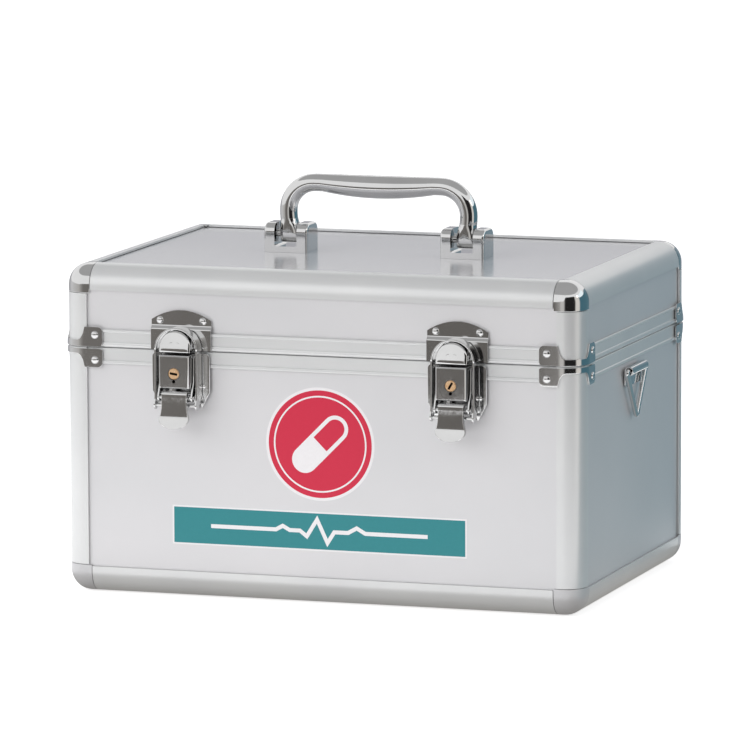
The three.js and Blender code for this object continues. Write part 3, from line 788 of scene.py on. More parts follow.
class KnuckleRow(Repeat):
    """Sets every other knuckle of a hinge along its pin."""

    def __init__(self) -> None:
        """Builds the tree."""
        super().__init__(
            "hinge_knuckles",
            Count="Int",
            Pitch="Float",
            Length="Float",
            Radius="Float",
            Start="Vector",
        )
        tree, source = self.tree, self.source
        step = add_node(tree, "ShaderNodeCombineXYZ", {0: source["Pitch"]}).outputs[0]
        line = {"Count": source["Count"], "Start Location": source["Start"], "Offset": step}
        row = add_node(tree, "GeometryNodeMeshLine", line, mode="OFFSET")
        barrel = {"Vertices": 24, "Radius": source["Radius"], "Depth": source["Length"]}
        knuckle = add_node(tree, "GeometryNodeMeshCylinder", barrel)
        self.close(row.outputs[0], knuckle.outputs[0], Rotation=(0, math.pi / 2, 0))

    def set(
        self,
        name: str,
        body: str,
        count: int,
        start: Point3,
        finish: Finish,
        **sizes: float,
    ) -> None:
        """Sets the knuckles of one leaf.

        Args:
            name: The piece's name.
            body: The body that they move with.
            count: Number of knuckles.
            start: The middle of the first.
            finish: Their finish.
            **sizes: Pitch, Length and Radius, in millimetres.
        """
        metres = {label: size * MM for label, size in sizes.items()}
        first = [c * MM for c in start]
        seeds = bpy.data.meshes.new(name)
        obj = self.grow(seeds, finish, Count=count, Start=first, **metres)
        obj.data.set_sharp_from_angle(angle=SMOOTH_ANGLE)
        mount(obj, body, finish)


# The case


class Side(Enum):
    """The two ends of the case, seen from the front."""

    LEFT = -1
    RIGHT = 1

    @property
    def label(self) -> str:
        """The side's name as the pieces use it."""
        return self.name.lower()


@dataclass(frozen=True)
class CaseSizes:
    """Main sizes of the case, in millimetres."""

    width: float = 300.0
    depth: float = 208.0
    height: float = 184.0
    seam: float = 138.0
    seam_gap: float = 0.3
    edge: float = 12.0
    wall: float = 6.0
    flange: float = 14.0
    bottom_flange: float = 15.0
    lip: float = 1.2
    seat: float = 1.5
    groove: float = 4.8
    slot_depth: float = 4.3
    sheet: float = 3.0
    gap: float = 0.3
    cap: float = 15.7
    cap_wall: float = 1.0
    base_rim: float = 9.0
    lid_rim: float = 10.0
    post_skin: float = 2.4

    @property
    def panel_face(self) -> float:
        """How far the front panel's face lies in front of the middle."""
        return self.depth / 2 - self.seat

    def lip_at(self, inset: float, least: float = 0.2) -> float:
        """How deep the slot starts, which an inset outer face pushes in."""
        return max(self.lip, inset + least)


CASE = CaseSizes()
CORNERS = (
    ("front_left", -1, -1),
    ("front_right", 1, -1),
    ("rear_left", -1, 1),
    ("rear_right", 1, 1),
)


@dataclass(frozen=True)
class Station:
    """One place on the case's outline: a corner's sides, a turn, and a share of the straight."""

    side_x: int
    side_y: int
    angle: float
    straight_x: float = 0.0
    straight_y: float = 0.0
    seated: bool = False

    def point(self, offset: float, height: float) -> Point3:
        """The point at an offset from the case's face and a height.

        Args:
            offset: Outwards from the case's face.
            height: Height.

        Returns:
            The point.
        """
        radius = max(CASE.edge + offset, 0.05)
        half_x = CASE.width / 2 + offset - radius
        half_y = CASE.depth / 2 + offset - radius
        if self.straight_x:
            x, y = min(self.straight_x, half_x), half_y + radius
        elif self.straight_y:
            x, y = half_x + radius, min(self.straight_y, half_y)
        else:
            x = half_x + radius * math.cos(self.angle)
            y = half_y + radius * math.sin(self.angle)
        return (self.side_x * x, self.side_y * y, height)


@dataclass(frozen=True)
class Seat:
    """How far a corner's recess reaches along both faces, and how deep it is."""

    reach: float
    inset: float


CAP_SEAT = Seat(reach=CASE.cap + CASE.gap, inset=CASE.cap_wall + CASE.gap)
SKIN_SEAT = Seat(reach=CASE.flange + CASE.gap, inset=CASE.post_skin + CASE.gap)


def outline_stations(steps: int, seat: Seat | None = None) -> list[Station]:
    """The stations round the case, with a step where the corners' recesses end.

    Args:
        steps: Steps of each rounded corner.
        seat: The recess at the corners, if there is one.

    Returns:
        The stations, in order round the case.
    """
    made = []
    for side_x, side_y in ((1, -1), (1, 1), (-1, 1), (-1, -1)):
        turns = [math.pi / 2 * i / steps for i in range(steps + 1)]
        corner = [Station(side_x, side_y, turn, seated=seat is not None) for turn in turns]
        if seat:
            x, y = CASE.width / 2 - seat.reach, CASE.depth / 2 - seat.reach
            before = [Station(side_x, side_y, 0, straight_y=y, seated=s) for s in (False, True)]
            after = [Station(side_x, side_y, 0, straight_x=x, seated=s) for s in (True, False)]
            corner = before + corner + after
        made.extend(corner if side_x * side_y > 0 else corner[::-1])
    return made


def swept(
    profile: Callable[[float], list[Point2]], seat: Seat | None = None, steps: int = 12
) -> Draft:
    """Sweeps a profile round the case.

    Args:
        profile: Gives the profile, in offset and height, for an inset of its outer face.
        seat: The recess at the corners, if there is one.
        steps: Steps of each rounded corner.

    Returns:
        The draft.
    """
    plain, sunk = profile(0.0), profile(seat.inset if seat else 0.0)
    stations = outline_stations(steps, seat)
    loops = [[s.point(o, z) for o, z in (sunk if s.seated else plain)] for s in stations]
    return Draft().loft(loops, ring=True)


@dataclass
class EdgeFrames:
    """The extrusions round the underside, the top and both sides of the seam.

    Each profile is a list of offsets and heights, for an inset of its outer face.
    """

    arc_steps: int = 10
    ledge: float = 18.0
    bead: float = 2.2
    lid_bead: float = 1.8
    band: float = 0.6
    lip_height: float = 3.4
    lip_round: float = 1.5
    bead_round: float = 0.7
    rim_lip: float = 0.5
    chamfer: float = 0.35
    tongue: float = 3.0
    tongue_outer: float = -4.4
    tongue_inner_chamfer: float = 0.3
    tongue_outer_chamfer: float = 0.4
    tongue_space: float = -3.9
    tongue_play: float = 0.5

    def bottom(self, inset: float) -> list[Point2]:
        """Profile of the bottom frame: a quarter round, a ledge and a groove.

        Args:
            inset: Inset of the outer face.

        Returns:
            The profile.
        """
        c, top = CASE, CASE.bottom_flange
        floor, slot = c.sheet + c.gap, c.lip_at(inset)
        return [
            (-inset, top),
            *arc((-c.edge, c.edge), c.edge - inset, 0, -90, self.arc_steps),
            (-c.flange, inset),
            (-c.flange, floor),
            (-self.ledge, floor),
            (-self.ledge, c.wall),
            *arc((-c.edge, c.edge), c.edge - c.wall, -90, 0, self.arc_steps),
            (-c.wall, top),
            (-c.groove, top),
            (-c.groove, top - c.slot_depth),
            (-slot, top - c.slot_depth),
            (-slot, top),
        ]

    def top(self, inset: float) -> list[Point2]:
        """Profile of the top frame: a quarter round with grooves for both panels.

        Args:
            inset: Inset of the outer face.

        Returns:
            The profile.
        """
        c, low = CASE, CASE.height - CASE.flange
        slot, middle = c.lip_at(inset), (-c.edge, c.height - c.edge)
        deep, lip = -c.flange + c.slot_depth, c.height - slot
        return [
            (-inset, low),
            *arc(middle, c.edge - inset, 0, 90, self.arc_steps),
            (-c.flange, c.height - inset),
            (-c.flange, lip),
            (deep, lip),
            (deep, c.height - c.groove),
            (-c.flange, c.height - c.groove),
            (-c.flange, c.height - c.wall),
            *arc(middle, c.edge - c.wall, 90, 0, self.arc_steps),
            (-c.wall, low),
            (-c.groove, low),
            (-c.groove, low + c.slot_depth),
            (-slot, low + c.slot_depth),
            (-slot, low),
        ]

    def base_rim(self, inset: float) -> list[Point2]:
        """Profile of the body's rim: a bead, a flat band, and a tongue inside.

        Args:
            inset: Inset of the outer face.

        Returns:
            The profile.
        """
        c, low, high = CASE, CASE.seam - CASE.base_rim, CASE.seam
        r, bead, slot = self.bead_round, low + self.bead, c.lip_at(inset, self.rim_lip)
        tip, outer = high + self.tongue, self.tongue_outer
        profile = [
            (-slot, low),
            *arc((-r, low + r), r, 270, 360, 4),
            *arc((-r, bead - r), r, 0, 60, 3),
            (-self.band, bead + 0.1),
            (-self.band, high - self.chamfer),
            (-self.band - self.chamfer, high),
            (outer, high),
            (outer, tip - self.tongue_outer_chamfer),
            (outer - self.tongue_outer_chamfer, tip),
            (-c.wall + self.tongue_inner_chamfer, tip),
            (-c.wall, tip - self.tongue_inner_chamfer),
            (-c.wall, low),
            (-c.groove, low),
            (-c.groove, low + c.slot_depth),
            (-slot, low + c.slot_depth),
        ]
        return [(min(offset, -inset), height) for offset, height in profile]

    def lid_rim(self, inset: float) -> list[Point2]:
        """Profile of the lid's rim: a rounded lip, a flat band and a bead.

        Args:
            inset: Inset of the outer face.

        Returns:
            The profile.
        """
        c, low = CASE, CASE.seam + CASE.seam_gap
        high, inside = low + c.lid_rim, c.seam + self.tongue + self.tongue_play
        r, s, slot = self.lip_round, self.bead_round, c.lip_at(inset, self.rim_lip)
        lip, bead = low + self.lip_height, high - self.lid_bead
        profile = [
            (self.tongue_space, low),
            (-r, low),
            *arc((-r, low + r), r, 280, 360, 6),
            *arc((-r, lip - r), r, 0, 53, 5),
            (-self.band, lip + 0.1),
            (-self.band, bead - 0.1),
            *arc((-s, bead + s), s, -60, 0, 3),
            *arc((-s, high - s), s, 0, 90, 4),
            (-slot, high),
            (-slot, high - c.slot_depth),
            (-c.groove, high - c.slot_depth),
            (-c.groove, high),
            (-c.wall, high),
            (-c.wall, inside),
            (self.tongue_space, inside),
        ]
        return [(min(offset, -inset), height) for offset, height in profile]

    def build(self) -> None:
        """Makes the four frames."""
        for body, name, node, profile, seat, bevel in (
            ("base", "base_bottom_frame_fine", "base_bottom_frame", self.bottom, CAP_SEAT, 0.2),
            ("lid", "lid_top_frame_fine", "lid_top_frame", self.top, CAP_SEAT, 0.2),
            ("base", "base_rim_fine", "base_rim_frame", self.base_rim, SKIN_SEAT, 0.0),
            ("lid", "lid_rim_fine", "lid_rim_frame", self.lid_rim, SKIN_SEAT, 0.0),
        ):
            piece(name, swept(profile, seat), body, ANODISED, node, bevel)


@dataclass
class CornerPosts:
    """The rounded angle at each upright corner of the body and the lid."""

    steps: int = 12
    groove_end: float = 9.7
    bevel: float = 0.15

    def section(self, inset: float, skin_only: bool) -> list[Point2]:
        """Cross-section of the post at the rear right corner.

        Args:
            inset: Inset of the outer face.
            skin_only: Whether only the skin over the rim is left.

        Returns:
            The outline, in offsets from both faces.
        """
        c = CASE
        end = -self.groove_end if skin_only else -c.flange
        slot = c.lip_at(inset)
        groove, inner = (c.post_skin, c.post_skin) if skin_only else (c.groove, c.wall)
        half = [
            (-slot, -c.flange),
            (-slot, -self.groove_end),
            (-groove, -self.groove_end),
            (-groove, end),
            (-inner, end),
        ]
        return [
            (-c.flange, -inset),
            *arc((-c.edge, -c.edge), c.edge - inset, 90, 0, self.steps),
            (-inset, -c.flange),
            *half,
            *arc((-c.edge, -c.edge), c.edge - inner, 0, 90, self.steps),
            *[(b, a) for a, b in reversed(half)],
        ]

    def build(self) -> None:
        """Makes the eight posts, each from levels of height, inset and skin only."""
        c = CASE
        foot, head, sunk = CAP_SEAT.reach, c.height - CAP_SEAT.reach, CAP_SEAT.inset
        low, high = c.seam - c.base_rim - c.gap, c.seam + c.seam_gap + c.lid_rim + c.gap
        levels = {
            "base": [
                (c.bottom_flange + c.gap, sunk, False),
                (foot, sunk, False),
                (foot, 0.0, False),
                (low, 0.0, False),
                (low, 0.0, True),
                (c.seam, 0.0, True),
            ],
            "lid": [
                (c.seam + c.seam_gap, 0.0, True),
                (high, 0.0, True),
                (high, 0.0, False),
                (head, 0.0, False),
                (head, sunk, False),
                (c.height - c.flange - c.gap, sunk, False),
            ],
        }
        x, y = c.width / 2, c.depth / 2
        for place, side_x, side_y in CORNERS:
            for body, rows in levels.items():
                loops = [
                    [(side_x * (x + a), side_y * (y + b), z) for a, b in self.section(inset, skin)]
                    for z, inset, skin in rows
                ]
                draft, node = Draft().loft(loops), f"{body}_corner_post_{place}"
                piece(f"{body}_post_{place}", draft, body, ANODISED, node, self.bevel)


@dataclass
class CornerCaps:
    """The pressed ball corner over each place where three extrusions meet."""

    steps: int = 9
    rim: float = 0.25

    def shell(self, side_x: int, side_y: int, side_z: int) -> Draft:
        """Draft of one cap: three square patches, outside and inside.

        Args:
            side_x: Side across.
            side_y: Side in depth.
            side_z: 1 for the top, -1 for the bottom.

        Returns:
            The draft.
        """
        c, n = CASE, self.steps
        ticks = [c.edge * math.tan(math.radians(45 * (n - i) / n)) for i in range(n + 1)]
        ticks.insert(0, c.cap)
        size = len(ticks)
        draft = Draft()
        for wall in (0.0, c.cap_wall):
            for axis in range(3):
                start = len(draft.points)
                for across in ticks:
                    for along in ticks:
                        depth = [across, along]
                        depth.insert(axis, 0.0)
                        out = [c.edge - d for d in depth]
                        centre = [min(o, 0.0) for o in out]
                        away = Vector([o - m for o, m in zip(out, centre)]).normalized()
                        x, y, z = (m + (c.edge - wall) * w - c.edge for m, w in zip(centre, away))
                        x, y = side_x * (c.width / 2 + x), side_y * (c.depth / 2 + y)
                        draft.points.append((x, y, c.height + z if side_z > 0 else -z))
                for i in range(size - 1):
                    for j in range(size - 1):
                        a = start + i * size + j
                        draft.faces.append((a, a + 1, a + size + 1, a + size))
        layer = 3 * size**2
        for patch in range(0, layer, size**2):
            for j in range(size - 1):
                for step in (1, size):
                    a = patch + j * step
                    draft.faces.append((a, a + step, a + step + layer, a + layer))
        return draft

    def build(self) -> None:
        """Makes the eight caps: polished on top, dull underneath."""
        levels = ("top", "lid", 1, CHROME), ("bottom", "base", -1, DULL_NICKEL)
        for place, side_x, side_y in CORNERS:
            for level, body, side_z, finish in levels:
                draft, node = self.shell(side_x, side_y, side_z), f"{level}_corner_cap_{place}"
                piece(f"{level}_cap_{place}", draft, body, finish, node, self.rim)


@dataclass
class SeamBrackets:
    """The riveted straps round the corners, over and under the seam."""

    thickness: float = 0.75
    offset: float = 0.15
    front_reach: float = 11.5
    side_reach: float = 12.0
    corner: float = 2.8
    foot_round: float = 0.3
    shoulder: float = 4.2
    shoulder_start: float = 0.6
    lid_tab: float = 11.0
    lid_strap: float = 3.5
    base_tab: float = 10.4
    base_strap: float = 3.0
    bulge: float = 0.2
    bulge_reach: float = 0.9
    seam_gap: float = 0.6
    arc_steps: int = 12
    rows: int = 7
    rivet_radius: float = 2.2
    rivet_height: float = 1.1
    rivet_along: float = 0.62
    rivet_up: float = 0.6
    bevel: float = 0.3

    def columns(self) -> list[Point3]:
        """The columns along a bracket, from the front tab's end to the side tab's end.

        Returns:
            For each, the distance from the front tab's end, the straight left
            before the corner or after it, and the turn at the corner.
        """
        quarter = (CASE.edge + self.offset) * math.pi / 2
        end = self.front_reach + quarter + self.side_reach
        near = [self.corner * (1 - math.cos(math.pi / 2 * i / 6)) for i in range(7)]
        steps = [*near, 6.0, 8.0, 9.5, 10.5]
        made = [(d, self.front_reach - d, 0.0) for d in (*steps, self.front_reach)]
        for i in range(1, self.arc_steps):
            share = i / self.arc_steps
            made.append((self.front_reach + quarter * share, 0.0, 90 * share))
        made += [(end - d, self.side_reach - d, 90.0) for d in (self.side_reach, *reversed(steps))]
        return made

    def reach_up(self, along: float, end: float, tab: float, strap: float) -> Point2:
        """How far a column of the bracket starts and ends from the seam.

        Args:
            along: Distance from the front tab's end.
            end: Distance at the side tab's end.
            tab: Height of the tabs.
            strap: Height of the strap.

        Returns:
            Both distances.
        """
        near, r = min(along, end - along), self.corner
        if near < r:
            fall = r - math.sqrt(max(r * r - (r - near) ** 2, 0.0))
            return fall * self.foot_round, tab - fall
        tab_length = self.front_reach if along < end / 2 else self.side_reach
        over = near - tab_length + self.shoulder_start
        if over <= 0:
            return 0.0, tab
        share = min(over / self.shoulder, 1.0)
        return 0.0, strap + (tab - strap) * (1 - math.sqrt(1 - (1 - share) ** 2))

    def draft(
        self, side_x: int, side_y: int, seam: float, turn: int, tab: float, strap: float
    ) -> Draft:
        """Draft of one bracket.

        Args:
            side_x: Side across.
            side_y: Side in depth.
            seam: Height where it starts.
            turn: 1 where it rises from there, -1 where it hangs.
            tab: Height of the tabs.
            strap: Height of the strap.

        Returns:
            The draft.
        """
        c, t, o = CASE, self.thickness, self.offset
        columns = self.columns()
        end = columns[-1][0]
        bulge = self.bulge if turn > 0 else 0.0
        loops = []
        for along, straight, angle in columns:
            low, high = self.reach_up(along, end, tab, strap)
            a = math.radians(90 - angle)
            ax, ay = math.cos(a), math.sin(a)
            px = c.width / 2 - c.edge - (straight if angle == 0 else 0.0)
            py = c.depth / 2 - c.edge - (straight if angle == 90 else 0.0)

            def spot(out: float, up: float) -> Point3:
                """A point of this column."""
                r = c.edge + out
                return (side_x * (px + r * ax), side_y * (py + r * ay), seam + turn * up)

            ups = [low + (high - low) * i / (self.rows - 1) for i in range(self.rows)]
            swell = [bulge * max(0.0, 1 - (u / (strap + self.bulge_reach)) ** 2) for u in ups]
            outer = [spot(o + t + w, u) for u, w in zip(ups, swell)]
            loops.append(outer + [spot(o, u) for u in reversed(ups)])
        return Draft().loft(loops)

    def build(self, rivets: RivetSetter) -> None:
        """Makes the eight brackets and their rivets.

        Args:
            rivets: Sets the rivet heads.
        """
        c = CASE
        sets = {
            "lid": (c.seam + self.seam_gap, 1, self.lid_tab, self.lid_strap),
            "base": (c.seam - self.seam_gap, -1, self.base_tab, self.base_strap),
        }
        x, y, out = c.width / 2, c.depth / 2, self.offset + self.thickness
        front = x - c.edge - self.front_reach * self.rivet_along
        end = y - c.edge - self.side_reach * self.rivet_along
        for body, (seam, turn, tab, strap) in sets.items():
            places = []
            middle = seam + turn * tab * self.rivet_up
            for place, side_x, side_y in CORNERS:
                draft = self.draft(side_x, side_y, seam, turn, tab, strap)
                node = f"{body}_seam_bracket_{place}"
                piece(f"{body}_bracket_{place}", draft, body, CHROME, node, self.bevel)
                places.append(((side_x * front, side_y * (y + out), middle), (0, side_y, 0)))
                places.append(((side_x * (x + out), side_y * end, middle), (side_x, 0, 0)))
            size = self.rivet_radius, self.rivet_height
            rivets.set(f"{body}_bracket_rivets", body, places, *size, CHROME)


@dataclass
class Panels:
    """The sheet panels, which are the solids' own meshes."""

    polished: str = "lid_top_panel"

    def build(self) -> None:
        """Gives every panel its finish."""
        for name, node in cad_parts.items():
            if name.endswith("_panel"):
                sheet = GLOSSY_SHEET if name == self.polished else SATIN_SHEET
                node.data.materials.clear()
                node.data.materials.append(material_of(sheet))
                log.info("%s: %s", name, sheet.name)


@dataclass
class Lining:
    """Foam glued to the walls, the floor and the inside of the lid."""

    outer: float = 6.3
    thickness: float = 2.0
    bevel: float = 0.3
    steps: int = 5
    rim_drop: float = 1.0
    lid_start: float = 4.2

    def shell(self, low: float, high: float, closed_low: bool) -> Draft:
        """Draft of one half of the lining.

        Args:
            low: Its lowest height.
            high: Its highest height.
            closed_low: Whether the sheet across it is at the bottom.

        Returns:
            The draft.
        """
        o, t = -self.outer, self.thickness
        profile = [(o, low), (o, high), (o - t, high), (o - t, low)]
        draft = swept(lambda _inset: profile, steps=self.steps)
        z0 = low if closed_low else high - t
        sheet = [s.point(o - t / 2, z0)[:2] for s in outline_stations(self.steps)]
        return draft.slab(sheet, lambda a, b, d: (a, b, d), z0, z0 + t)

    def build(self) -> None:
        """Makes both halves."""
        c = CASE
        base = self.shell(self.outer, c.seam - self.rim_drop, True)
        lid = self.shell(c.seam + self.lid_start, c.height - c.wall - c.gap, False)
        piece("base_lining", base, "base", FOAM, bevel=self.bevel)
        piece("lid_lining", lid, "lid", FOAM, bevel=self.bevel)


@dataclass
class RearHinge:
    """The long knuckled hinge on the back."""

    length: float = 242.0
    knuckles: int = 11
    barrel: float = 2.4
    radius: float = 2.28
    pin: float = 1.0
    gap: float = 0.5
    leaf: float = 0.8
    leaf_start: float = 0.6
    leaf_height: float = 11.0
    leaf_round: float = 2.5
    leaf_bevel: float = 0.2
    rivet_count: int = 8
    rivet_up: float = 7.3
    rivet_radius: float = 1.8
    rivet_height: float = 0.8

    def build(self, rows: KnuckleRow, rivets: RivetSetter) -> None:
        """Makes both leaves, the knuckles, the pin and the rivets.

        Args:
            rows: Sets the knuckles.
            rivets: Sets the rivet heads.
        """
        c, half, count = CASE, self.length / 2, self.rivet_count
        face, z = c.depth / 2 + c.gap, c.seam + c.seam_gap / 2
        y, pitch = face + self.barrel, self.length / self.knuckles
        big, small = (self.leaf_round,) * 2, (CRISP,) * 2
        for body, turn, first in (("base", -1, 0), ("lid", 1, 1)):
            ends = sorted((z + turn * self.leaf_start, z + turn * (self.leaf_height + c.gap)))
            radii = big + small if turn < 0 else small + big
            outline = rounded_rectangle(-half, half, *ends, radii)
            draft = Draft().slab(outline, lambda a, b, d: (a, d, b), face, face + self.leaf)
            node = f"hinge_{body}_leaf"
            piece(f"{body}_hinge_leaf", draft, body, DULL_NICKEL, node, self.leaf_bevel)
            rows.set(
                f"{body}_hinge_knuckles",
                body,
                (self.knuckles - first + 1) // 2,
                (-half + (first + 0.5) * pitch, y, z),
                DULL_NICKEL,
                Pitch=2 * pitch,
                Length=pitch - self.gap,
                Radius=self.radius,
            )
            spots = [-half + self.length * (i + 0.5) / count for i in range(count)]
            height = z + turn * self.rivet_up
            places = [((x, face + self.leaf, height), (0, 1, 0)) for x in spots]
            size = self.rivet_radius, self.rivet_height
            rivets.set(f"{body}_hinge_rivets", body, places, *size, DULL_NICKEL)
        pin = Draft().bar((-half, y, z), (half, y, z), self.pin)
        piece("hinge_pin_fine", pin, "base", DULL_NICKEL, "hinge_pin")


# Handle and rings


@dataclass
class CarryHandle:
    """The bow handle with its two clevis brackets on the lid."""

    span: float = 104.0
    leg_span: float = 106.4
    height: float = 34.4
    bend: float = 16.0
    pull: float = 0.55
    radius: float = 5.0
    sides: int = 28
    grip_radius: float = 6.5
    grip_length: float = 76.0
    grip_sink: float = 0.6
    grip_rows: int = 32
    pin: float = 2.0
    lug_width: float = 10.4
    lug_radius: float = 5.0
    lug_top: float = 9.0
    lug_power: float = 7.0
    bracket_width: float = 26.0
    bracket_depth: float = 19.5
    bracket_height: float = 16.5
    slot: float = 13.2
    slot_round: float = 1.2
    floor: float = 3.5
    rounding: float = 5.0
    cheek_round: float = 1.7
    pivot: float = 9.8
    panel_top: float = 182.5

    @property
    def pivot_height(self) -> float:
        """Height of the pins' axis."""
        return self.panel_top + self.pivot

    @property
    def bend_foot(self) -> float:
        """Height over the pivot where the upper bends start."""
        return self.height - self.radius - self.bend

    def path(self) -> list[Vector]:
        """The centre line of the bow.

        Returns:
            Its points.
        """
        foot, leg, low = self.span / 2, self.leg_span / 2, self.bend_foot
        top, side, pull = low + self.bend, leg - self.bend, self.pull * self.bend

        def at(x: float, z: float) -> Vector:
            """A point of the centre line."""
            return Vector((x, 0, self.pivot_height + z))

        left = [at(-foot, 0)]
        left += bezier(left[0], at(-foot, low / 2), at(-leg, low / 2), at(-leg, low), 8)
        bend = at(-leg, low), at(-leg, low + pull), at(-side - pull, top), at(-side, top)
        left += bezier(*bend, 16)
        return left + [Vector((-p.x, p.y, p.z)) for p in reversed(left)]

    def grip(self) -> list[list[Point3]]:
        """The sections of the swollen grip.

        Returns:
            The sections, from left to right.
        """
        least, n = self.radius - self.grip_sink, self.sides
        most = self.grip_radius - self.radius + self.grip_sink
        made = []
        for i in range(self.grip_rows + 1):
            along = i / self.grip_rows
            radius = least + most * math.sin(math.pi * along) ** 0.8
            middle = self.pivot_height + self.height - radius
            x = -self.grip_length / 2 + self.grip_length * along
            section = arc((0, 0), radius, 0, 360 - 360 / n, n - 1)
            made.append([(x, b, middle + a) for a, b in section])
        return made

    def bow(self) -> Draft:
        """Draft of the handle.

        Returns:
            The draft.
        """
        draft = Draft().tube(self.path(), self.radius, self.sides).loft(self.grip())
        z, reach = self.pivot_height, self.bracket_width / 2 - self.grip_sink
        for side in Side:
            x = side.value * self.span / 2
            draft.loft([self.lug_section(side, level) for level in self.lug_levels()])
            draft.bar((x - reach, 0, z), (x + reach, 0, z), self.pin, 20, 0.3)
        return draft

    def lug_levels(self) -> list[float]:
        """Heights of the lug's sections over the pivot, up to where it meets the leg."""
        bottom = [-self.lug_radius * math.cos(math.pi / 2 * i / 8) for i in range(1, 9)]
        return bottom + [self.lug_top * i / 8 for i in range(1, 9)]

    def lug_section(self, side: Side, level: float) -> list[Point3]:
        """A section of the lug: a rounded square below that becomes round above.

        Args:
            side: The leg's side.
            level: Height over the pivot.

        Returns:
            The section's points.
        """
        lean = smooth_step(min(max(level / self.bend_foot, 0.0), 1.0))
        x = side.value * (self.span + (self.leg_span - self.span) * lean) / 2
        ease = smooth_step(min(max(level / self.lug_top, 0.0), 1.0))
        across = self.lug_width / 2 + (self.radius - self.lug_width / 2) * ease
        flat = math.sqrt(self.lug_radius**2 - min(level, 0.0) ** 2)
        deep = flat + (self.radius - self.lug_radius) * ease
        power = self.lug_power - (self.lug_power - ROUND) * ease
        made = []
        for a in circle(32):
            c, s = math.cos(a), math.sin(a)
            r = (abs(c) ** power + abs(s) ** power) ** (-1 / power)
            made.append((x + across * r * c, deep * r * s, self.pivot_height + level))
        return made

    def bracket(self, side: Side) -> Draft:
        """Draft of one clevis bracket before its slot is cut.

        Args:
            side: Its side.

        Returns:
            The draft.
        """
        x0, reach = side.value * self.span / 2, self.bracket_width / 2
        half, r, rho = self.bracket_depth / 2, self.rounding, self.cheek_round
        turns = [math.radians(90 * i / 6) for i in range(7)]
        ends = [(rho * (1 - math.cos(t)) - reach, rho * (1 - math.sin(t))) for t in turns]
        loops = []
        for d, inset in ends + [(-d, inset) for d, inset in reversed(ends)]:
            y, top = half - inset, self.bracket_height - inset
            radii = CRISP, CRISP, r - inset, r - inset
            outline = rounded_rectangle(-y, y, 0.0, top, radii, 8)
            loops.append([(x0 + d, a, self.panel_top + b) for a, b in outline])
        return Draft().loft(loops)

    def bracket_slot(self, side: Side) -> Draft:
        """Draft of the slot between the cheeks.

        Args:
            side: Its side.

        Returns:
            The draft.
        """
        x0, half, r = side.value * self.span / 2, self.slot / 2, self.slot_round
        low, high = self.panel_top + self.floor, self.panel_top + self.bracket_height + 3
        outline = rounded_rectangle(x0 - half, x0 + half, low, high, (r, r, CRISP, CRISP), 5)
        reach = self.bracket_depth
        return Draft().slab(outline, lambda x, z, d: (x, d, z), -reach, reach)

    def build(self) -> None:
        """Makes the handle and both brackets."""
        piece("handle_bow", self.bow(), "handle", CHROME, "handle", 0.3)
        for side in Side:
            slot, block = self.bracket_slot(side), self.bracket(side)
            name, node = f"handle_clevis_{side.label}", f"handle_bracket_{side.label}"
            piece(name, block, "lid", CHROME, node, 0.6, [slot], 3)


@dataclass
class EndRing:
    """The wire ring on each end, hanging from a rolled sleeve on a plate."""

    height: float = 124.5
    centre: float = -3.0
    drop: float = 27.0
    wire: float = 1.5
    half: float = 19.2
    bend: float = 2.4
    handle_share: float = 0.67
    sleeve: float = 30.0
    reach: float = 1.65
    play: float = 0.35
    wall: float = 0.86
    plate: float = 1.0
    plate_drop: float = 9.0
    plate_round: float = 2.0

    def bent(self, start: Vector, corner: Vector, end: Vector) -> list[Vector]:
        """Points of one bend of the wire round a corner, without the first."""
        share = self.handle_share
        return bezier(start, start.lerp(corner, share), end.lerp(corner, share), end, 6)

    def build(self, side: Side) -> None:
        """Makes one ring with its plate.

        Args:
            side: The end of the case.
        """
        s, name = side.value, side.label
        x0, half = CASE.width / 2 + self.reach, self.sleeve / 2
        bore = self.wire + self.play
        outer = bore + self.wall

        def at(y: float, z: float) -> Vector:
            """A point of the ring's plane."""
            return Vector((s * x0, self.centre + y, self.height + z))

        def mirrored(p: Vector) -> Vector:
            """The same point on the ring's other half."""
            return Vector((p.x, 2 * self.centre - p.y, p.z))

        corner, tip = at(self.half, 0), at(0, -self.drop)
        along = (tip - corner).normalized()
        path = [at(0, 0), at(self.half - self.bend, 0)]
        path += self.bent(path[-1], corner, corner + along * self.bend)
        path.append(tip - along * self.bend)
        turn = self.bent(path[-1], tip, mirrored(path[-1]))
        back = [mirrored(p) for p in reversed(path[1:-1])]
        ring = Draft().tube(path + turn + back, self.wire, 20, ring=True)
        piece(f"end_ring_{name}", ring, f"side_ring_{name}", CHROME, f"side_ring_{name}")
        corners = ((-half, bore), (-half, outer), (half, outer), (half, bore))
        shell = []
        for w in circle(28):
            c, v = math.cos(w), math.sin(w)
            spots = [(x0 + r * c, y, self.height + r * v) for y, r in corners]
            shell.append([(s * x, self.centre + y, z) for x, y, z in spots])
        r = self.plate_round
        outline = rounded_rectangle(-half, half, -self.plate_drop, 0.0, (r, r, CRISP, CRISP))
        plate = Draft().loft(shell, ring=True)
        plate.slab(
            outline,
            lambda a, b, d: (s * (x0 + d), self.centre + a, self.height + b),
            -outer,
            -outer + self.plate,
        )
        node = f"side_ring_plate_{name}"
        piece(f"end_ring_sleeve_{name}", plate, "base", CHROME, node, 0.2)


# Latches


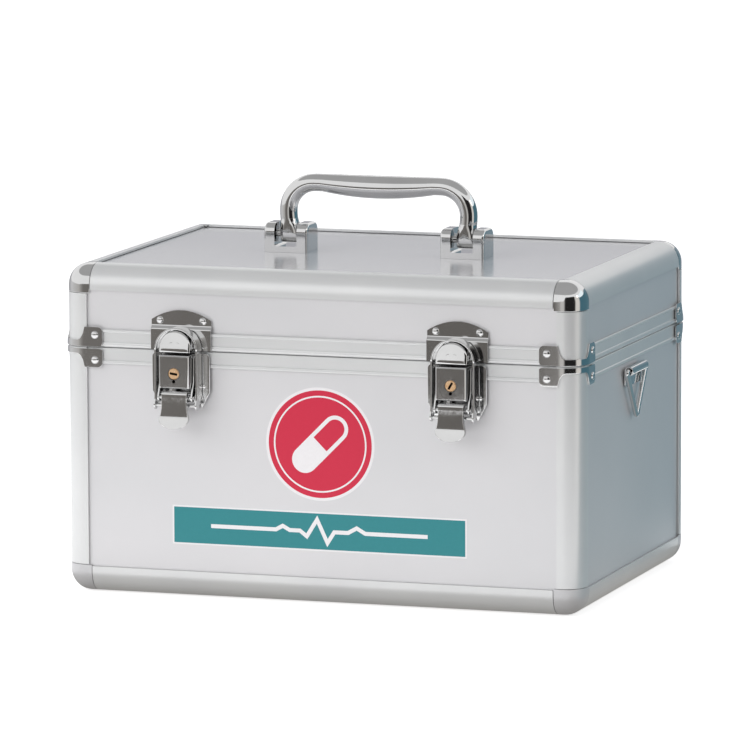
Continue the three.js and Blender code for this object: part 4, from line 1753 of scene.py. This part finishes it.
@dataclass
class DrawLatch:
    """One keyed draw latch. Sizes run from the seam and from the case's front face."""

    side: Side
    key_turn: float
    spacing: float = 160.0
    plate: float = 1.2
    face: float = 1.5
    catch_half: float = 17.5
    catch_shoulder: float = 17.3
    catch_top: float = 22.8
    catch_bend: float = 12.4
    boss_radius: float = 9.1
    boss_middle: float = 3.6
    boss_low: float = 0.6
    boss_fall: float = 0.2
    boss_fall_over: float = 11.0
    boss_fall_end: float = 1.15
    catch_rivet: Point2 = (12.5, 17.0)
    catch_rivet_size: Point2 = (2.1, 1.3)
    footing_half: float = 16.8
    footing_tip: float = 12.2
    footing_low: float = -31.1
    footing_shoulder: float = -22.3
    footing_top: float = -0.8
    footing_round: float = 2.4
    footing_rivet: Point2 = (13.2, -18.9)
    footing_rivet_size: Point2 = (1.3, 0.8)
    lock_half: float = 8.9
    lock_low: float = -19.3
    lock_top: float = -0.6
    lock_bore: float = 3.35
    notch_height: float = -15.2
    notch_radius: float = 0.95
    key_height: float = -10.9
    key_radius: float = 3.2
    keyway_half: Point2 = (2.2, 0.65)
    pivot: Point2 = (-24.5, 9.8)
    loop_pin: Point2 = (-29.0, 9.4)
    loop_outer: float = 12.6
    loop_wall: float = 1.1
    loop_middle: float = 1.6
    loop_near: float = 2.6
    loop_far: float = 10.1
    tab_start: float = -36.2
    tab_half: float = 8.9
    tab_flick: float = 2.4
    flick_start: float = -27.0
    flick_over: float = 14.4
    flick_power: float = 2.3
    lever_face: float = 13.3
    lever_wall: float = 1.25
    lever_edge: float = 0.7

    def at(self, u: float, v: float, p: float) -> Point3:
        """A point from across, height over the seam, and reach out of the front face."""
        middle = self.side.value * self.spacing / 2
        return (middle + u, -CASE.depth / 2 - p, CASE.seam + v)

    def sideways(self, p: float, v: float, u: float) -> Point3:
        """The same from a side profile's reach and height, and a place across."""
        return self.at(u, v, p)

    def pair(self, draft: Draft, outline: Sequence[Point2], near: float, far: float) -> Draft:
        """Adds a side profile on both sides of the latch.

        Args:
            draft: The draft that gets them.
            outline: The profile, in reach and height.
            near: Nearest distance from the middle.
            far: Furthest distance from the middle.

        Returns:
            The draft.
        """
        for depths in ((-far, -near), (near, far)):
            draft.slab(outline, self.sideways, *depths)
        return draft

    def catch(self) -> Draft:
        """Draft of the catch plate with its boss.

        Returns:
            The draft.
        """
        half, bend, shoulder = self.catch_half, self.catch_bend, self.catch_shoulder
        low, foot = self.boss_low, self.catch_bend - 0.5
        rows = [(low, self.face, half), (foot, self.face, half)]
        for i in range(1, 6):
            t = i / 6
            rows.append((foot + 2.6 * t, self.face - self.face * smooth_step(t), half))
        rows += [(bend + 2.1, 0.0, half), (shoulder, 0.0, half)]
        for i in range(1, 17):
            w = half * math.cos(i / 16 * math.pi / 2 * 0.985)
            v = shoulder + (self.catch_top - shoulder) * (1 - (w / half) ** 2)
            rows.append((v, 0.0, w))
        loops = []
        for v, p, w in rows:
            back = p - self.plate
            loops.append([self.at(u, v, q) for u, q in ((-w, p), (w, p), (w, back), (-w, back))])
        draft = Draft().loft(loops)
        steps = [(1.0, 9.4), (2.2, 9.1), (11.7, 9.1), (12.3, 8.85), (12.7, 8.4)]
        steps += [(12.95, 7.5), (13.1, 6.0), (13.2, 4.2), (13.25, 2.2)]
        loops = []
        for p, r in steps:
            arch = [(-r, low), (r, low), *arc((0, self.boss_middle), r, 0, 180, 24)]
            foot = low + (self.boss_radius - r) * 0.8
            outline = [(u, max(v, foot)) for u, v in arch]
            loops.append([self.at(u, v, p * (1 - self.boss_slope(v))) for u, v in outline])
        return draft.loft(loops)

    def boss_slope(self, v: float) -> float:
        """The share by which the boss's reach falls off with height over the seam."""
        share = max((v - self.boss_low) / self.boss_fall_over, 0.0)
        return self.boss_fall * min(share, self.boss_fall_end)

    def footing(self) -> Draft:
        """Draft of the footing plate with the ears of the lever's pivot.

        Returns:
            The draft.
        """
        half, tip, r = self.footing_half, self.footing_tip, self.footing_round
        low, shoulder, top = self.footing_low, self.footing_shoulder, self.footing_top
        outline = [
            (-tip, low),
            (tip, low),
            (half, shoulder),
            *arc((half - r, top - r), r, 0, 90, 6),
            *arc((r - half, top - r), r, 90, 180, 6),
            (-half, shoulder),
        ]
        v, p = self.pivot
        knee = arc((p, v), r, 262, 385, 14)
        ear = [(0.9, -2.5), (0.9, -28.5), *knee, (8.6, -16.0), (8.0, -2.5)]
        return self.pair(Draft().slab(outline, self.at, 0.3, self.face), ear, 9.2, 10.2)

    def lock(self) -> Draft:
        """Draft of the lock body with its broad front chamfer.

        Returns:
            The draft.
        """
        loops = []
        for p, half in ((1.8, 8.9), (11.9, 8.9), (12.7, 8.65), (13.3, 8.0)):
            inset = self.lock_half - half
            box = -half, half, self.lock_low + inset, self.lock_top - inset
            loops.append([self.at(u, v, p) for u, v in rounded_rectangle(*box, (0.5,) * 4, 3)])
        return Draft().loft(loops)

    def lever_rows(self) -> list[Point3]:
        """The lever's sections down its length.

        Returns:
            For each, its height, its face's reach and its half width.
        """
        rows = []
        for i in range(7):
            a = math.radians(90 * i / 6)
            rows.append((-20.9 - 1.9 * (1 - math.cos(a)), 11.4 + 1.9 * math.sin(a), 7.55))
        neck = [(-24.5, 7.55), (-26.5, 7.5), (-28.8, 7.5), (-30.6, 7.6)]
        flare = [(-32.2, 7.85), (-33.6, 8.25), (-34.9, 8.65), (self.tab_start, 8.87)]
        rows += [(v, self.lever_face, half) for v, half in neck + flare]
        for i in range(1, 13):
            a = math.radians(90 * i / 12 * 0.97)
            v, half = self.tab_start - 5.2 * math.sin(a), self.tab_half * math.cos(a)
            rows.append((v, self.lever_face, half))
        return rows

    def lever(self) -> Draft:
        """Draft of the lever: a crowned tab, its side walls and both pins.

        Returns:
            The draft.
        """
        loops = []
        for v, face, half in self.lever_rows():
            bent = max(0.0, (self.flick_start - v) / self.flick_over) ** self.flick_power
            front = face + self.tab_flick * bent
            edge, back = self.lever_edge, front - self.lever_wall
            right = [
                (half - edge, front),
                (half - edge * 0.3, front - edge * 0.3),
                (half, front - edge),
                (half, back - 0.2),
                (half - 0.5, back - 0.2),
                (half - 1.0, back),
            ]
            left = [(-u, p) for u, p in reversed(right)]
            section = left[3:] + right + left[:3]
            loops.append([self.at(u if half > 1.2 else u * 0.9, v, p) for u, p in section])
        wall = [(12.6, -22.3), (8.7, -22.3), (7.9, -23.2)]
        wall += [(7.9, -31.0), (9.1, -32.4), (12.6, -33.2)]
        draft = self.pair(Draft().loft(loops), wall, 5.3, 6.5)
        for (v, p), reach, radius in ((self.pivot, 10.6, 1.1), (self.loop_pin, 12.7, 1.0)):
            draft.bar(self.at(-reach, v, p), self.at(reach, v, p), radius, 20, 0.25)
        return draft

    def loop(self) -> Draft:
        """Draft of the loop: a deep thin strap arched over the boss.

        Returns:
            The draft.
        """
        outer, inner, centre = self.loop_outer, self.loop_outer - self.loop_wall, self.loop_middle
        near, far = self.loop_near, self.loop_far
        section = rounded_rectangle(inner, outer, near, far, (0.4,) * 4, 3)
        loops = []
        for i in range(33):
            a = math.pi * i / 32
            c, s = math.cos(a), math.sin(a)
            loops.append([self.at(r * c, centre + r * s, p) for r, p in section])
        v, p = self.loop_pin
        leg = [(near, centre + 0.3), (near, -23.0), *arc((p, v), 2.4, 205, 360, 16)]
        leg += [(11.8, -27.6), (far, -24.6), (far, centre + 0.3)]
        return self.pair(Draft().loft(loops), leg, inner, outer)

    def drill(
        self, v: float, radius: float, near: float, far: float, steps: int, bevel: float = 0.0
    ) -> Draft:
        """A round bar straight out of the latch, at a height and between two reaches."""
        return Draft().bar(self.at(0, v, near), self.at(0, v, far), radius, steps, bevel)

    def build(self, rivets: RivetSetter) -> None:
        """Makes the whole latch.

        Args:
            rivets: Sets the rivet heads.
        """
        name, key = self.side.label, self.key_height
        bore = self.drill(key, self.lock_bore, 3.0, 15.0, 36)
        notch = self.drill(self.notch_height, self.notch_radius, 8.5, 15.0, 20)
        plug = self.drill(key, self.key_radius, 2.0, 13.5, 36, 0.45)
        x, z = self.keyway_half
        slot = turned(rounded_rectangle(-x, x, -z, z, (0.4,) * 4, 4), self.key_turn)
        keyway = Draft().slab([(x, z + key) for x, z in slot], self.at, 10.0, 15.0)
        for label, draft, body, node, finish, bevel, cuts in (
            ("catch", self.catch(), "lid", "latch_catch", CHROME, 0.3, []),
            ("footing", self.footing(), "base", "latch_base", CHROME, 0.25, []),
            ("lock", self.lock(), "base", "lock_body", CHROME, 0.18, [bore, notch]),
            ("cylinder", plug, f"lock_cylinder_{name}", "lock_cylinder", BRASS, 0.0, [keyway]),
            ("lever", self.lever(), f"latch_lever_{name}", "latch_lever", CHROME, 0.0, []),
            ("loop", self.loop(), f"latch_loop_{name}", "latch_loop", CHROME, 0.3, []),
        ):
            named = f"{label}_{name}", draft, body, finish, f"{node}_{name}", bevel
            # Cut faces inside the holes take near-black bare steel: painted shade in the holes.
            piece(*named, cuts, cut_finish=BARE_STEEL_AND_PAINTED_SHADE if cuts else None)
        for label, body, (u, v), p, size in (
            ("catch", "lid", self.catch_rivet, 0.0, self.catch_rivet_size),
            ("footing", "base", self.footing_rivet, self.face, self.footing_rivet_size),
        ):
            places = [(self.at(across, v, p), (0, -1, 0)) for across in (-u, u)]
            rivets.set(f"{label}_rivets_{name}", body, places, *size, CHROME)


# Prints on the front


@dataclass
class FrontPrints:
    """A plain round badge with a capsule on it, over a plain band with a pulse line."""

    badge_radius: float = 31.5
    badge_height: float = 89.4
    edge: float = 1.6
    keyline_inset: float = 4.6
    keyline: float = 0.9
    capsule_length: float = 40.0
    capsule_width: float = 15.0
    capsule_wall: float = 2.2
    capsule_turn: float = 45.0
    band_left: float = -85.7
    band_right: float = 83.6
    band_low: float = 30.8
    band_high: float = 50.8
    band_edge: float = 0.9
    pulse_half: float = 1.1
    pulse: tuple[Point2, ...] = (
        (-64, 0), (-26, 0), (-22, 2.2), (-18, 0), (-12, 0), (-8, -3), (-2, 6.6),
        (4, -6.2), (8, 0), (16, 0), (21, 2.8), (26, 0), (62, 0),
    )
    film: float = 0.05

    def place(self, a: float, b: float, d: float) -> Point3:
        """A point on the front panel, from across, height, and layer depth."""
        return (a, -CASE.panel_face - d, b)

    def layer(self, outline: Sequence[Point2], level: int) -> Draft:
        """One layer of ink, over as many others as its level."""
        depth = level * self.film
        return Draft().slab(outline, self.place, depth, depth + self.film)

    def stripe(
        self, left: Sequence[Point2], right: Sequence[Point2], level: int, ring: bool
    ) -> Draft:
        """A line of ink between two rows of points.

        Args:
            left: The first row.
            right: The second row.
            level: How many layers lie under it.
            ring: Whether it closes on itself.

        Returns:
            The draft.
        """
        low = level * self.film
        high = low + self.film
        loops = [
            [self.place(*a, low), self.place(*a, high), self.place(*b, high), self.place(*b, low)]
            for a, b in zip(left, right)
        ]
        return Draft().loft(loops, ring)

    def disc(self, radius: float) -> list[Point2]:
        """A round outline about the badge's middle."""
        rim = [(radius * math.cos(a), radius * math.sin(a)) for a in circle(96)]
        return [(x, self.badge_height + z) for x, z in rim]

    def capsule(self, grow: float = 0.0, half_only: bool = False) -> list[Point2]:
        """Outline of a capsule about the badge's middle.

        Args:
            grow: Growth of the outline.
            half_only: Whether only its upper half is made.

        Returns:
            The outline.
        """
        r = self.capsule_width / 2 + grow
        reach = self.capsule_length / 2 - self.capsule_width / 2
        end = [(0.0, r), (0.0, -r)] if half_only else arc((-reach, 0), r, 90, 270, 20)
        outline = turned([*arc((reach, 0), r, -90, 90, 20), *end], self.capsule_turn)
        return [(x, self.badge_height + z) for x, z in outline]

    def pulse_line(self) -> tuple[list[Point2], list[Point2]]:
        """Both sides of the pulse line along the band.

        Returns:
            The upper and the lower side.
        """
        middle, knots = (self.band_low + self.band_high) / 2, self.pulse
        upper, lower = [], []
        for i, (x, z) in enumerate(knots):
            x0, z0 = knots[max(i - 1, 0)]
            x1, z1 = knots[min(i + 1, len(knots) - 1)]
            before = Vector((x - x0, z - z0)).normalized() if i else Vector((1, 0))
            after = Vector((x1 - x, z1 - z)).normalized() if i < len(knots) - 1 else Vector((1, 0))
            mean = (before + after).normalized()
            normal = Vector((-mean.y, mean.x))
            width = self.pulse_half / max(normal.dot(Vector((-before.y, before.x))), 0.45)
            upper.append((x + normal.x * width, middle + z + normal.y * width))
            lower.append((x - normal.x * width, middle + z - normal.y * width))
        return upper, lower

    def band(self, grow: float = 0.0) -> list[Point2]:
        """Outline of the band.

        Args:
            grow: Growth of the outline.

        Returns:
            The outline.
        """
        left, right = self.band_left - grow, self.band_right + grow
        low, high = self.band_low - grow, self.band_high + grow
        return [(left, low), (right, low), (right, high), (left, high)]

    def build(self) -> None:
        """Makes the prints, layer on layer."""
        radius, outer = self.badge_radius, self.badge_radius - self.keyline_inset
        keyline = self.disc(outer), self.disc(outer - self.keyline)
        for name, draft, ink in (
            ("badge_edge", self.layer(self.disc(radius), 0), PALE_INK),
            ("badge_red", self.layer(self.disc(radius - self.edge), 1), RED_INK),
            ("badge_keyline", self.stripe(*keyline, 2, ring=True), PALE_INK),
            ("badge_capsule", self.layer(self.capsule(), 2), PALE_INK),
            ("badge_capsule_fill", self.layer(self.capsule(-self.capsule_wall, True), 3), RED_INK),
            ("band_edge", self.layer(self.band(self.band_edge), 0), PALE_INK),
            ("band_teal", self.layer(self.band(), 1), TEAL_INK),
            ("band_pulse_line", self.stripe(*self.pulse_line(), 2, ring=False), PALE_INK),
        ):
            piece(name, draft, "base", ink)


# Studio


@dataclass(frozen=True)
class HorizonStop:
    """The room's colour in one compass direction, as the metal reflects it.

    turn is the direction in degrees: 0 is to the right of the case, 90 behind
    it, 180 to its left and 270 in front. wall is the height where that colour
    gives way to the pale ceiling, as the sine of the angle over the horizon.
    """

    turn: float
    colour: str
    wall: float

    @property
    def shade(self) -> Colour:
        """The colour in linear values, with the wall's height as its opacity."""
        return (*linear(self.colour)[:3], self.wall)


@dataclass(frozen=True)
class Lamp:
    """A soft box that faces the middle of the case: its size in metres and its watts."""

    name: str
    place: Point3
    size: Point2
    watts: float
    colour: str = "#ffffff"
    mirrored: bool = True

    def build(self, target: Point3) -> None:
        """Hangs it.

        Args:
            target: The point that it faces.
        """
        data = bpy.data.lights.new(self.name, "AREA")
        data.shape = "RECTANGLE"
        data.size, data.size_y = self.size
        data.energy = self.watts
        data.color = linear(self.colour)[:3]
        obj = bpy.data.objects.new(self.name, data)
        obj.location = self.place
        obj.visible_glossy = self.mirrored
        toward = Vector(target) - Vector(self.place)
        obj.rotation_euler = toward.to_track_quat("-Z", "Y").to_euler()
        bpy.context.scene.collection.objects.link(obj)


@dataclass
class Studio:
    """Floor, soft light, the room that the metal reflects, and the camera."""

    target: Point3 = (0.0, 0.0, 0.1)
    lens: float = 331.77
    place: Point3 = (1.22145, -3.65179, 0.66355)
    right: Point3 = (0.94834, 0.31724, -0.00392)
    up: Point3 = (-0.04116, 0.13526, 0.98996)
    back: Point3 = (0.31458, -0.93865, 0.14132)
    sky: str = "#f4f4f5"
    sky_level: float = 1.35
    zenith: str = "#5f5f61"
    zenith_from: float = 0.3
    camera_glow: float = 0.62
    floor_reach: float = 12.0
    floor_drop: float = 0.0004
    floor_level: float = 1.1
    floor_paper: Colour = (0.82, 0.82, 0.82, 1)
    paper: str = "#f2f1f1"
    paper_middle: Point3 = (-0.3, -0.32, 0.0)
    paper_near: float = 0.42
    paper_far: float = 0.7
    # The colour and reach of a contact shadow painted into the floor's bounce light round the
    # case's foot.
    painted_contact_shadow: str = "#a09d99"
    painted_contact_shadow_reach: float = 0.032
    wall_fade: float = 0.08
    card_reach: float = 0.85
    card_foot: float = 0.12
    card_level: float = 1.2
    card_step: int = 3
    ceiling_height: float = 2.2
    ceiling_reach: float = 2.25
    ceiling: str = "#a6a6a6"
    # A grey card under the case and just past its foot, seen only in polished metal: a painted
    # contact shadow.
    painted_shadow_card: str = "#94928f"
    painted_shadow_card_reach: float = 0.028
    side_sheet: str = "#6f878f"
    side_sheet_ends: Point2 = (-0.13, 0.8)
    horizon: tuple[HorizonStop, ...] = (
        HorizonStop(0, "#466b79", 0.35),
        HorizonStop(58, "#4d6f7b", 0.35),
        HorizonStop(72, "#82919a", 0.3),
        HorizonStop(90, "#a5a5aa", 0.26),
        HorizonStop(150, "#9d9da1", 0.2),
        HorizonStop(180, "#cececf", 0.1),
        HorizonStop(225, "#b2b0ad", 0.08),
        HorizonStop(241, "#74716e", 0.12),
        HorizonStop(262, "#666360", 0.14),
        HorizonStop(271, "#bebcb9", 0.2),
        HorizonStop(281, "#bebcb9", 0.2),
        HorizonStop(289, "#242323", 0.5),
        HorizonStop(331, "#242323", 0.5),
        HorizonStop(337, "#d8d4ce", 0.45),
        HorizonStop(353, "#d8d4ce", 0.4),
    )
    lamps: tuple[Lamp, ...] = (
        Lamp("soft_box_left", (-1.7, -2.4, 1.3), (3.2, 2.2), 45, mirrored=False),
        Lamp("soft_box_top", (0.1, -0.1, 2.2), (1.6, 1.6), 4, mirrored=False),
        Lamp("strip_right", (3.0, -0.3, 0.95), (0.5, 1.8), 8, "#fff4ea"),
        Lamp("cool_fill_right", (2.3, 1.2, 0.9), (2.4, 1.6), 5, "#8fc4d6"),
    )

    def camera(self) -> None:
        """Places the camera at the photograph's viewpoint."""
        data = bpy.data.cameras.new("view")
        data.sensor_width = 36.0
        data.lens = self.lens
        data.clip_start, data.clip_end = 0.05, 60.0
        camera = bpy.data.objects.new("view", data)
        turn = Matrix((self.right, self.up, self.back)).transposed()
        camera.matrix_world = Matrix.Translation(self.place) @ turn.to_4x4()
        bpy.context.scene.collection.objects.link(camera)
        bpy.context.scene.camera = camera

    def room(self, tree: Tree, direction: Socket) -> bpy.types.Node:
        """The room's colour round the horizon.

        Args:
            tree: The tree that gets the nodes.
            direction: A direction or a place, whose compass turn counts.

        Returns:
            The ramp, whose opacity holds the wall's height.
        """
        parts = add_node(tree, "ShaderNodeSeparateXYZ", {0: direction}).outputs
        turn = computed(tree, "ARCTAN2", parts[1], parts[0])
        share = computed(tree, "FRACT", computed(tree, "DIVIDE", turn, 2 * math.pi))
        ramp = add_node(tree, "ShaderNodeValToRGB", {0: share})
        stops, first = ramp.color_ramp.elements, self.horizon[0]
        stops[0].position, stops[0].color = first.turn / 360, first.shade
        stops[1].position, stops[1].color = 1.0, first.shade
        for stop in self.horizon[1:]:
            stops.new(stop.turn / 360).color = stop.shade
        return ramp

    def split(self, tree: Tree, soft: Socket, shown: Socket, kind: str) -> None:
        """Ends a tree with one shader for soft light and another for what is seen.

        Args:
            tree: The tree that gets the nodes.
            soft: What soft light meets.
            shown: What the camera sees, also by way of metal or glass.
            kind: The type name of the output node.
        """
        path = add_node(tree, "ShaderNodeLightPath").outputs
        mirrored = computed(tree, "MAXIMUM", path["Is Camera Ray"], path["Is Glossy Ray"])
        seen = computed(tree, "MAXIMUM", mirrored, path["Is Transmission Ray"])
        both = add_node(tree, "ShaderNodeMixShader", {0: seen, 1: soft, 2: shown})
        add_node(tree, kind, {"Surface": both.outputs[0]})

    def wall_at(self, turn: float) -> float:
        """The height of the cards in one compass direction.

        Args:
            turn: The direction in degrees.

        Returns:
            The height, in metres.
        """
        stops = [*self.horizon, replace(self.horizon[0], turn=360)]
        for near, far in zip(stops, stops[1:]):
            if near.turn <= turn <= far.turn:
                share = (turn - near.turn) / (far.turn - near.turn)
                sine = near.wall + (far.wall - near.wall) * share
                return self.card_foot + self.card_reach * math.tan(math.asin(sine))
        raise ValueError(turn)

    def cards(self) -> None:
        """Stands reflection cards about the case, which only polished metal shows."""
        verts, faces = [], []
        for turn in range(0, 360, self.card_step):
            a = math.radians(turn)
            x, y = self.card_reach * math.cos(a), self.card_reach * math.sin(a)
            verts += [(x, y, 0.0), (x, y, self.wall_at(turn))]
        for a in range(0, len(verts), 2):
            b = (a + 2) % len(verts)
            faces.append((a, b, b + 1, a + 1))
        self.card("card_ring", verts, faces, None)
        r, z = self.ceiling_reach, self.ceiling_height
        disc = [(r * math.cos(a), r * math.sin(a), z) for a in circle(48)]
        self.card("card_over", disc, [tuple(range(48))], self.ceiling)
        x, y = CASE.width / 2 * MM + self.painted_shadow_card_reach, CASE.depth / 2 * MM + self.painted_shadow_card_reach
        near, far = self.side_sheet_ends
        quad = [(0, 1, 2, 3)]
        # A grey card under the case, seen only in metal: painted contact shadow for the lower
        # edges.
        self.card("card_painted_shadow", [(-x, -y, 0), (x, -y, 0), (x, y, 0), (-x, y, 0)], quad, self.painted_shadow_card)
        end = self.card_reach
        sheet = [(x, near, 0), (end, near, 0), (end, far, 0), (x, far, 0)]
        self.card("card_side", sheet, quad, self.side_sheet)

    def card(self, name: str, verts: list, faces: list, colour: str | None) -> None:
        """Makes one card.

        Args:
            name: Its name.
            verts: Its mesh points.
            faces: Its mesh faces.
            colour: Its colour, or None for the room's colours.
        """
        mesh = bpy.data.meshes.new(name)
        mesh.from_pydata(verts, [], faces)
        obj = link_object(name, mesh)
        material = bpy.data.materials.new(f"{name}_board")
        tree = bare_tree(material)
        board = add_node(tree, "ShaderNodeEmission", {"Strength": self.card_level})
        if colour:
            board.inputs["Color"].default_value = linear(colour)
        else:
            place = add_node(tree, "ShaderNodeTexCoord").outputs["Object"]
            tree.links.new(self.room(tree, place).outputs["Color"], board.inputs["Color"])
        add_node(tree, "ShaderNodeOutputMaterial", {"Surface": board.outputs[0]})
        mesh.materials.append(material)
        obj.visible_camera = obj.visible_diffuse = False
        obj.visible_shadow = obj.visible_transmission = False

    def world(self) -> None:
        """Makes a white background, which metal and glass see too, and a room for the soft light.
        """
        world = bpy.data.worlds.new("studio")
        bpy.context.scene.world = world
        tree = bare_tree(world)
        direction = add_node(tree, "ShaderNodeTexCoord").outputs["Generated"]
        height = add_node(tree, "ShaderNodeSeparateXYZ", {0: direction}).outputs[2]
        room = self.room(tree, direction).outputs
        upper = computed(tree, "ADD", room["Alpha"], self.wall_fade)
        dome = eased(tree, height, self.zenith_from, 1.0)
        ceiling = mixed(tree, dome, self.sky, self.zenith)
        colour = mixed(tree, eased(tree, height, 0.0, upper), room["Color"], ceiling)
        lit = {"Color": colour, "Strength": self.sky_level}
        soft = add_node(tree, "ShaderNodeBackground", lit).outputs[0]
        plain = {"Color": (1, 1, 1, 1), "Strength": 1.0}
        white = add_node(tree, "ShaderNodeBackground", plain).outputs[0]
        self.split(tree, soft, white, "ShaderNodeOutputWorld")

    def footing(self, tree: Tree, place: Socket) -> Socket:
        """How far a place on the floor lies from the case's foot: the mask of the contact shadow
        painted into the floor's bounce.

        Args:
            tree: The tree that gets the nodes.
            place: The place.

        Returns:
            The output, 0 at the case's foot and 1 in the open.
        """
        parts = add_node(tree, "ShaderNodeSeparateXYZ", {0: place}).outputs
        gaps = [
            computed(tree, "SUBTRACT", computed(tree, "ABSOLUTE", part), half * MM)
            for part, half in zip(parts, (CASE.width / 2, CASE.depth / 2))
        ]
        return eased(tree, computed(tree, "MAXIMUM", *gaps), 0.0, self.painted_contact_shadow_reach)

    def floor(self) -> None:
        """Lays a pale floor, with a softer bounce for the matt surfaces."""
        r, z = self.floor_reach, -self.floor_drop
        mesh = bpy.data.meshes.new("floor")
        mesh.from_pydata([(-r, -r, z), (r, -r, z), (r, r, z), (-r, r, z)], [], [(0, 1, 2, 3)])
        obj = link_object("floor", mesh)
        material = bpy.data.materials.new("pale_paper_floor")
        tree = bare_tree(material)
        place = add_node(tree, "ShaderNodeTexCoord").outputs["Object"]
        offset = {0: place, 1: self.paper_middle}
        shifted = add_node(tree, "ShaderNodeVectorMath", offset, operation="SUBTRACT")
        length = {0: shifted.outputs[0]}
        distance = add_node(tree, "ShaderNodeVectorMath", length, operation="LENGTH")
        away = eased(tree, distance.outputs["Value"], self.paper_near, self.paper_far)
        room = self.room(tree, place).outputs["Color"]
        open_floor = mixed(tree, away, self.paper, room)
        # Paints a contact shadow into the floor's bounce light round the case's foot.
        colour = mixed(tree, self.footing(tree, place), self.painted_contact_shadow, open_floor)
        dim = {"Color": colour, "Strength": self.floor_level}
        soft = add_node(tree, "ShaderNodeEmission", dim).outputs[0]
        paper = add_node(tree, "ShaderNodeBsdfDiffuse", {"Color": self.floor_paper})
        bright = {"Color": (1, 1, 1, 1), "Strength": self.camera_glow}
        glow = add_node(tree, "ShaderNodeEmission", bright)
        lit = add_node(tree, "ShaderNodeAddShader", {0: paper.outputs[0], 1: glow.outputs[0]})
        self.split(tree, soft, lit.outputs[0], "ShaderNodeOutputMaterial")
        mesh.materials.append(material)

    def build(self) -> None:
        """Sets up the studio."""
        bpy.context.scene.view_settings.view_transform = "Standard"
        self.world()
        self.floor()
        self.cards()
        for lamp in self.lamps:
            lamp.build(self.target)
        self.camera()


def main() -> None:
    """Builds the lock box and its studio, piece by piece."""
    logging.basicConfig(level=logging.INFO, format="%(name)s %(message)s")
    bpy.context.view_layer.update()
    rivets, knuckles = RivetSetter(), KnuckleRow()
    Panels().build()
    EdgeFrames().build()
    CornerPosts().build()
    CornerCaps().build()
    SeamBrackets().build(rivets)
    Lining().build()
    RearHinge().build(knuckles, rivets)
    CarryHandle().build()
    for side in Side:
        EndRing().build(side)
    for side, key_turn in ((Side.LEFT, -8.0), (Side.RIGHT, 60.0)):
        DrawLatch(side, key_turn).build(rivets)
    FrontPrints().build()
    Studio().build()


if __name__ == "__main__":
    main()
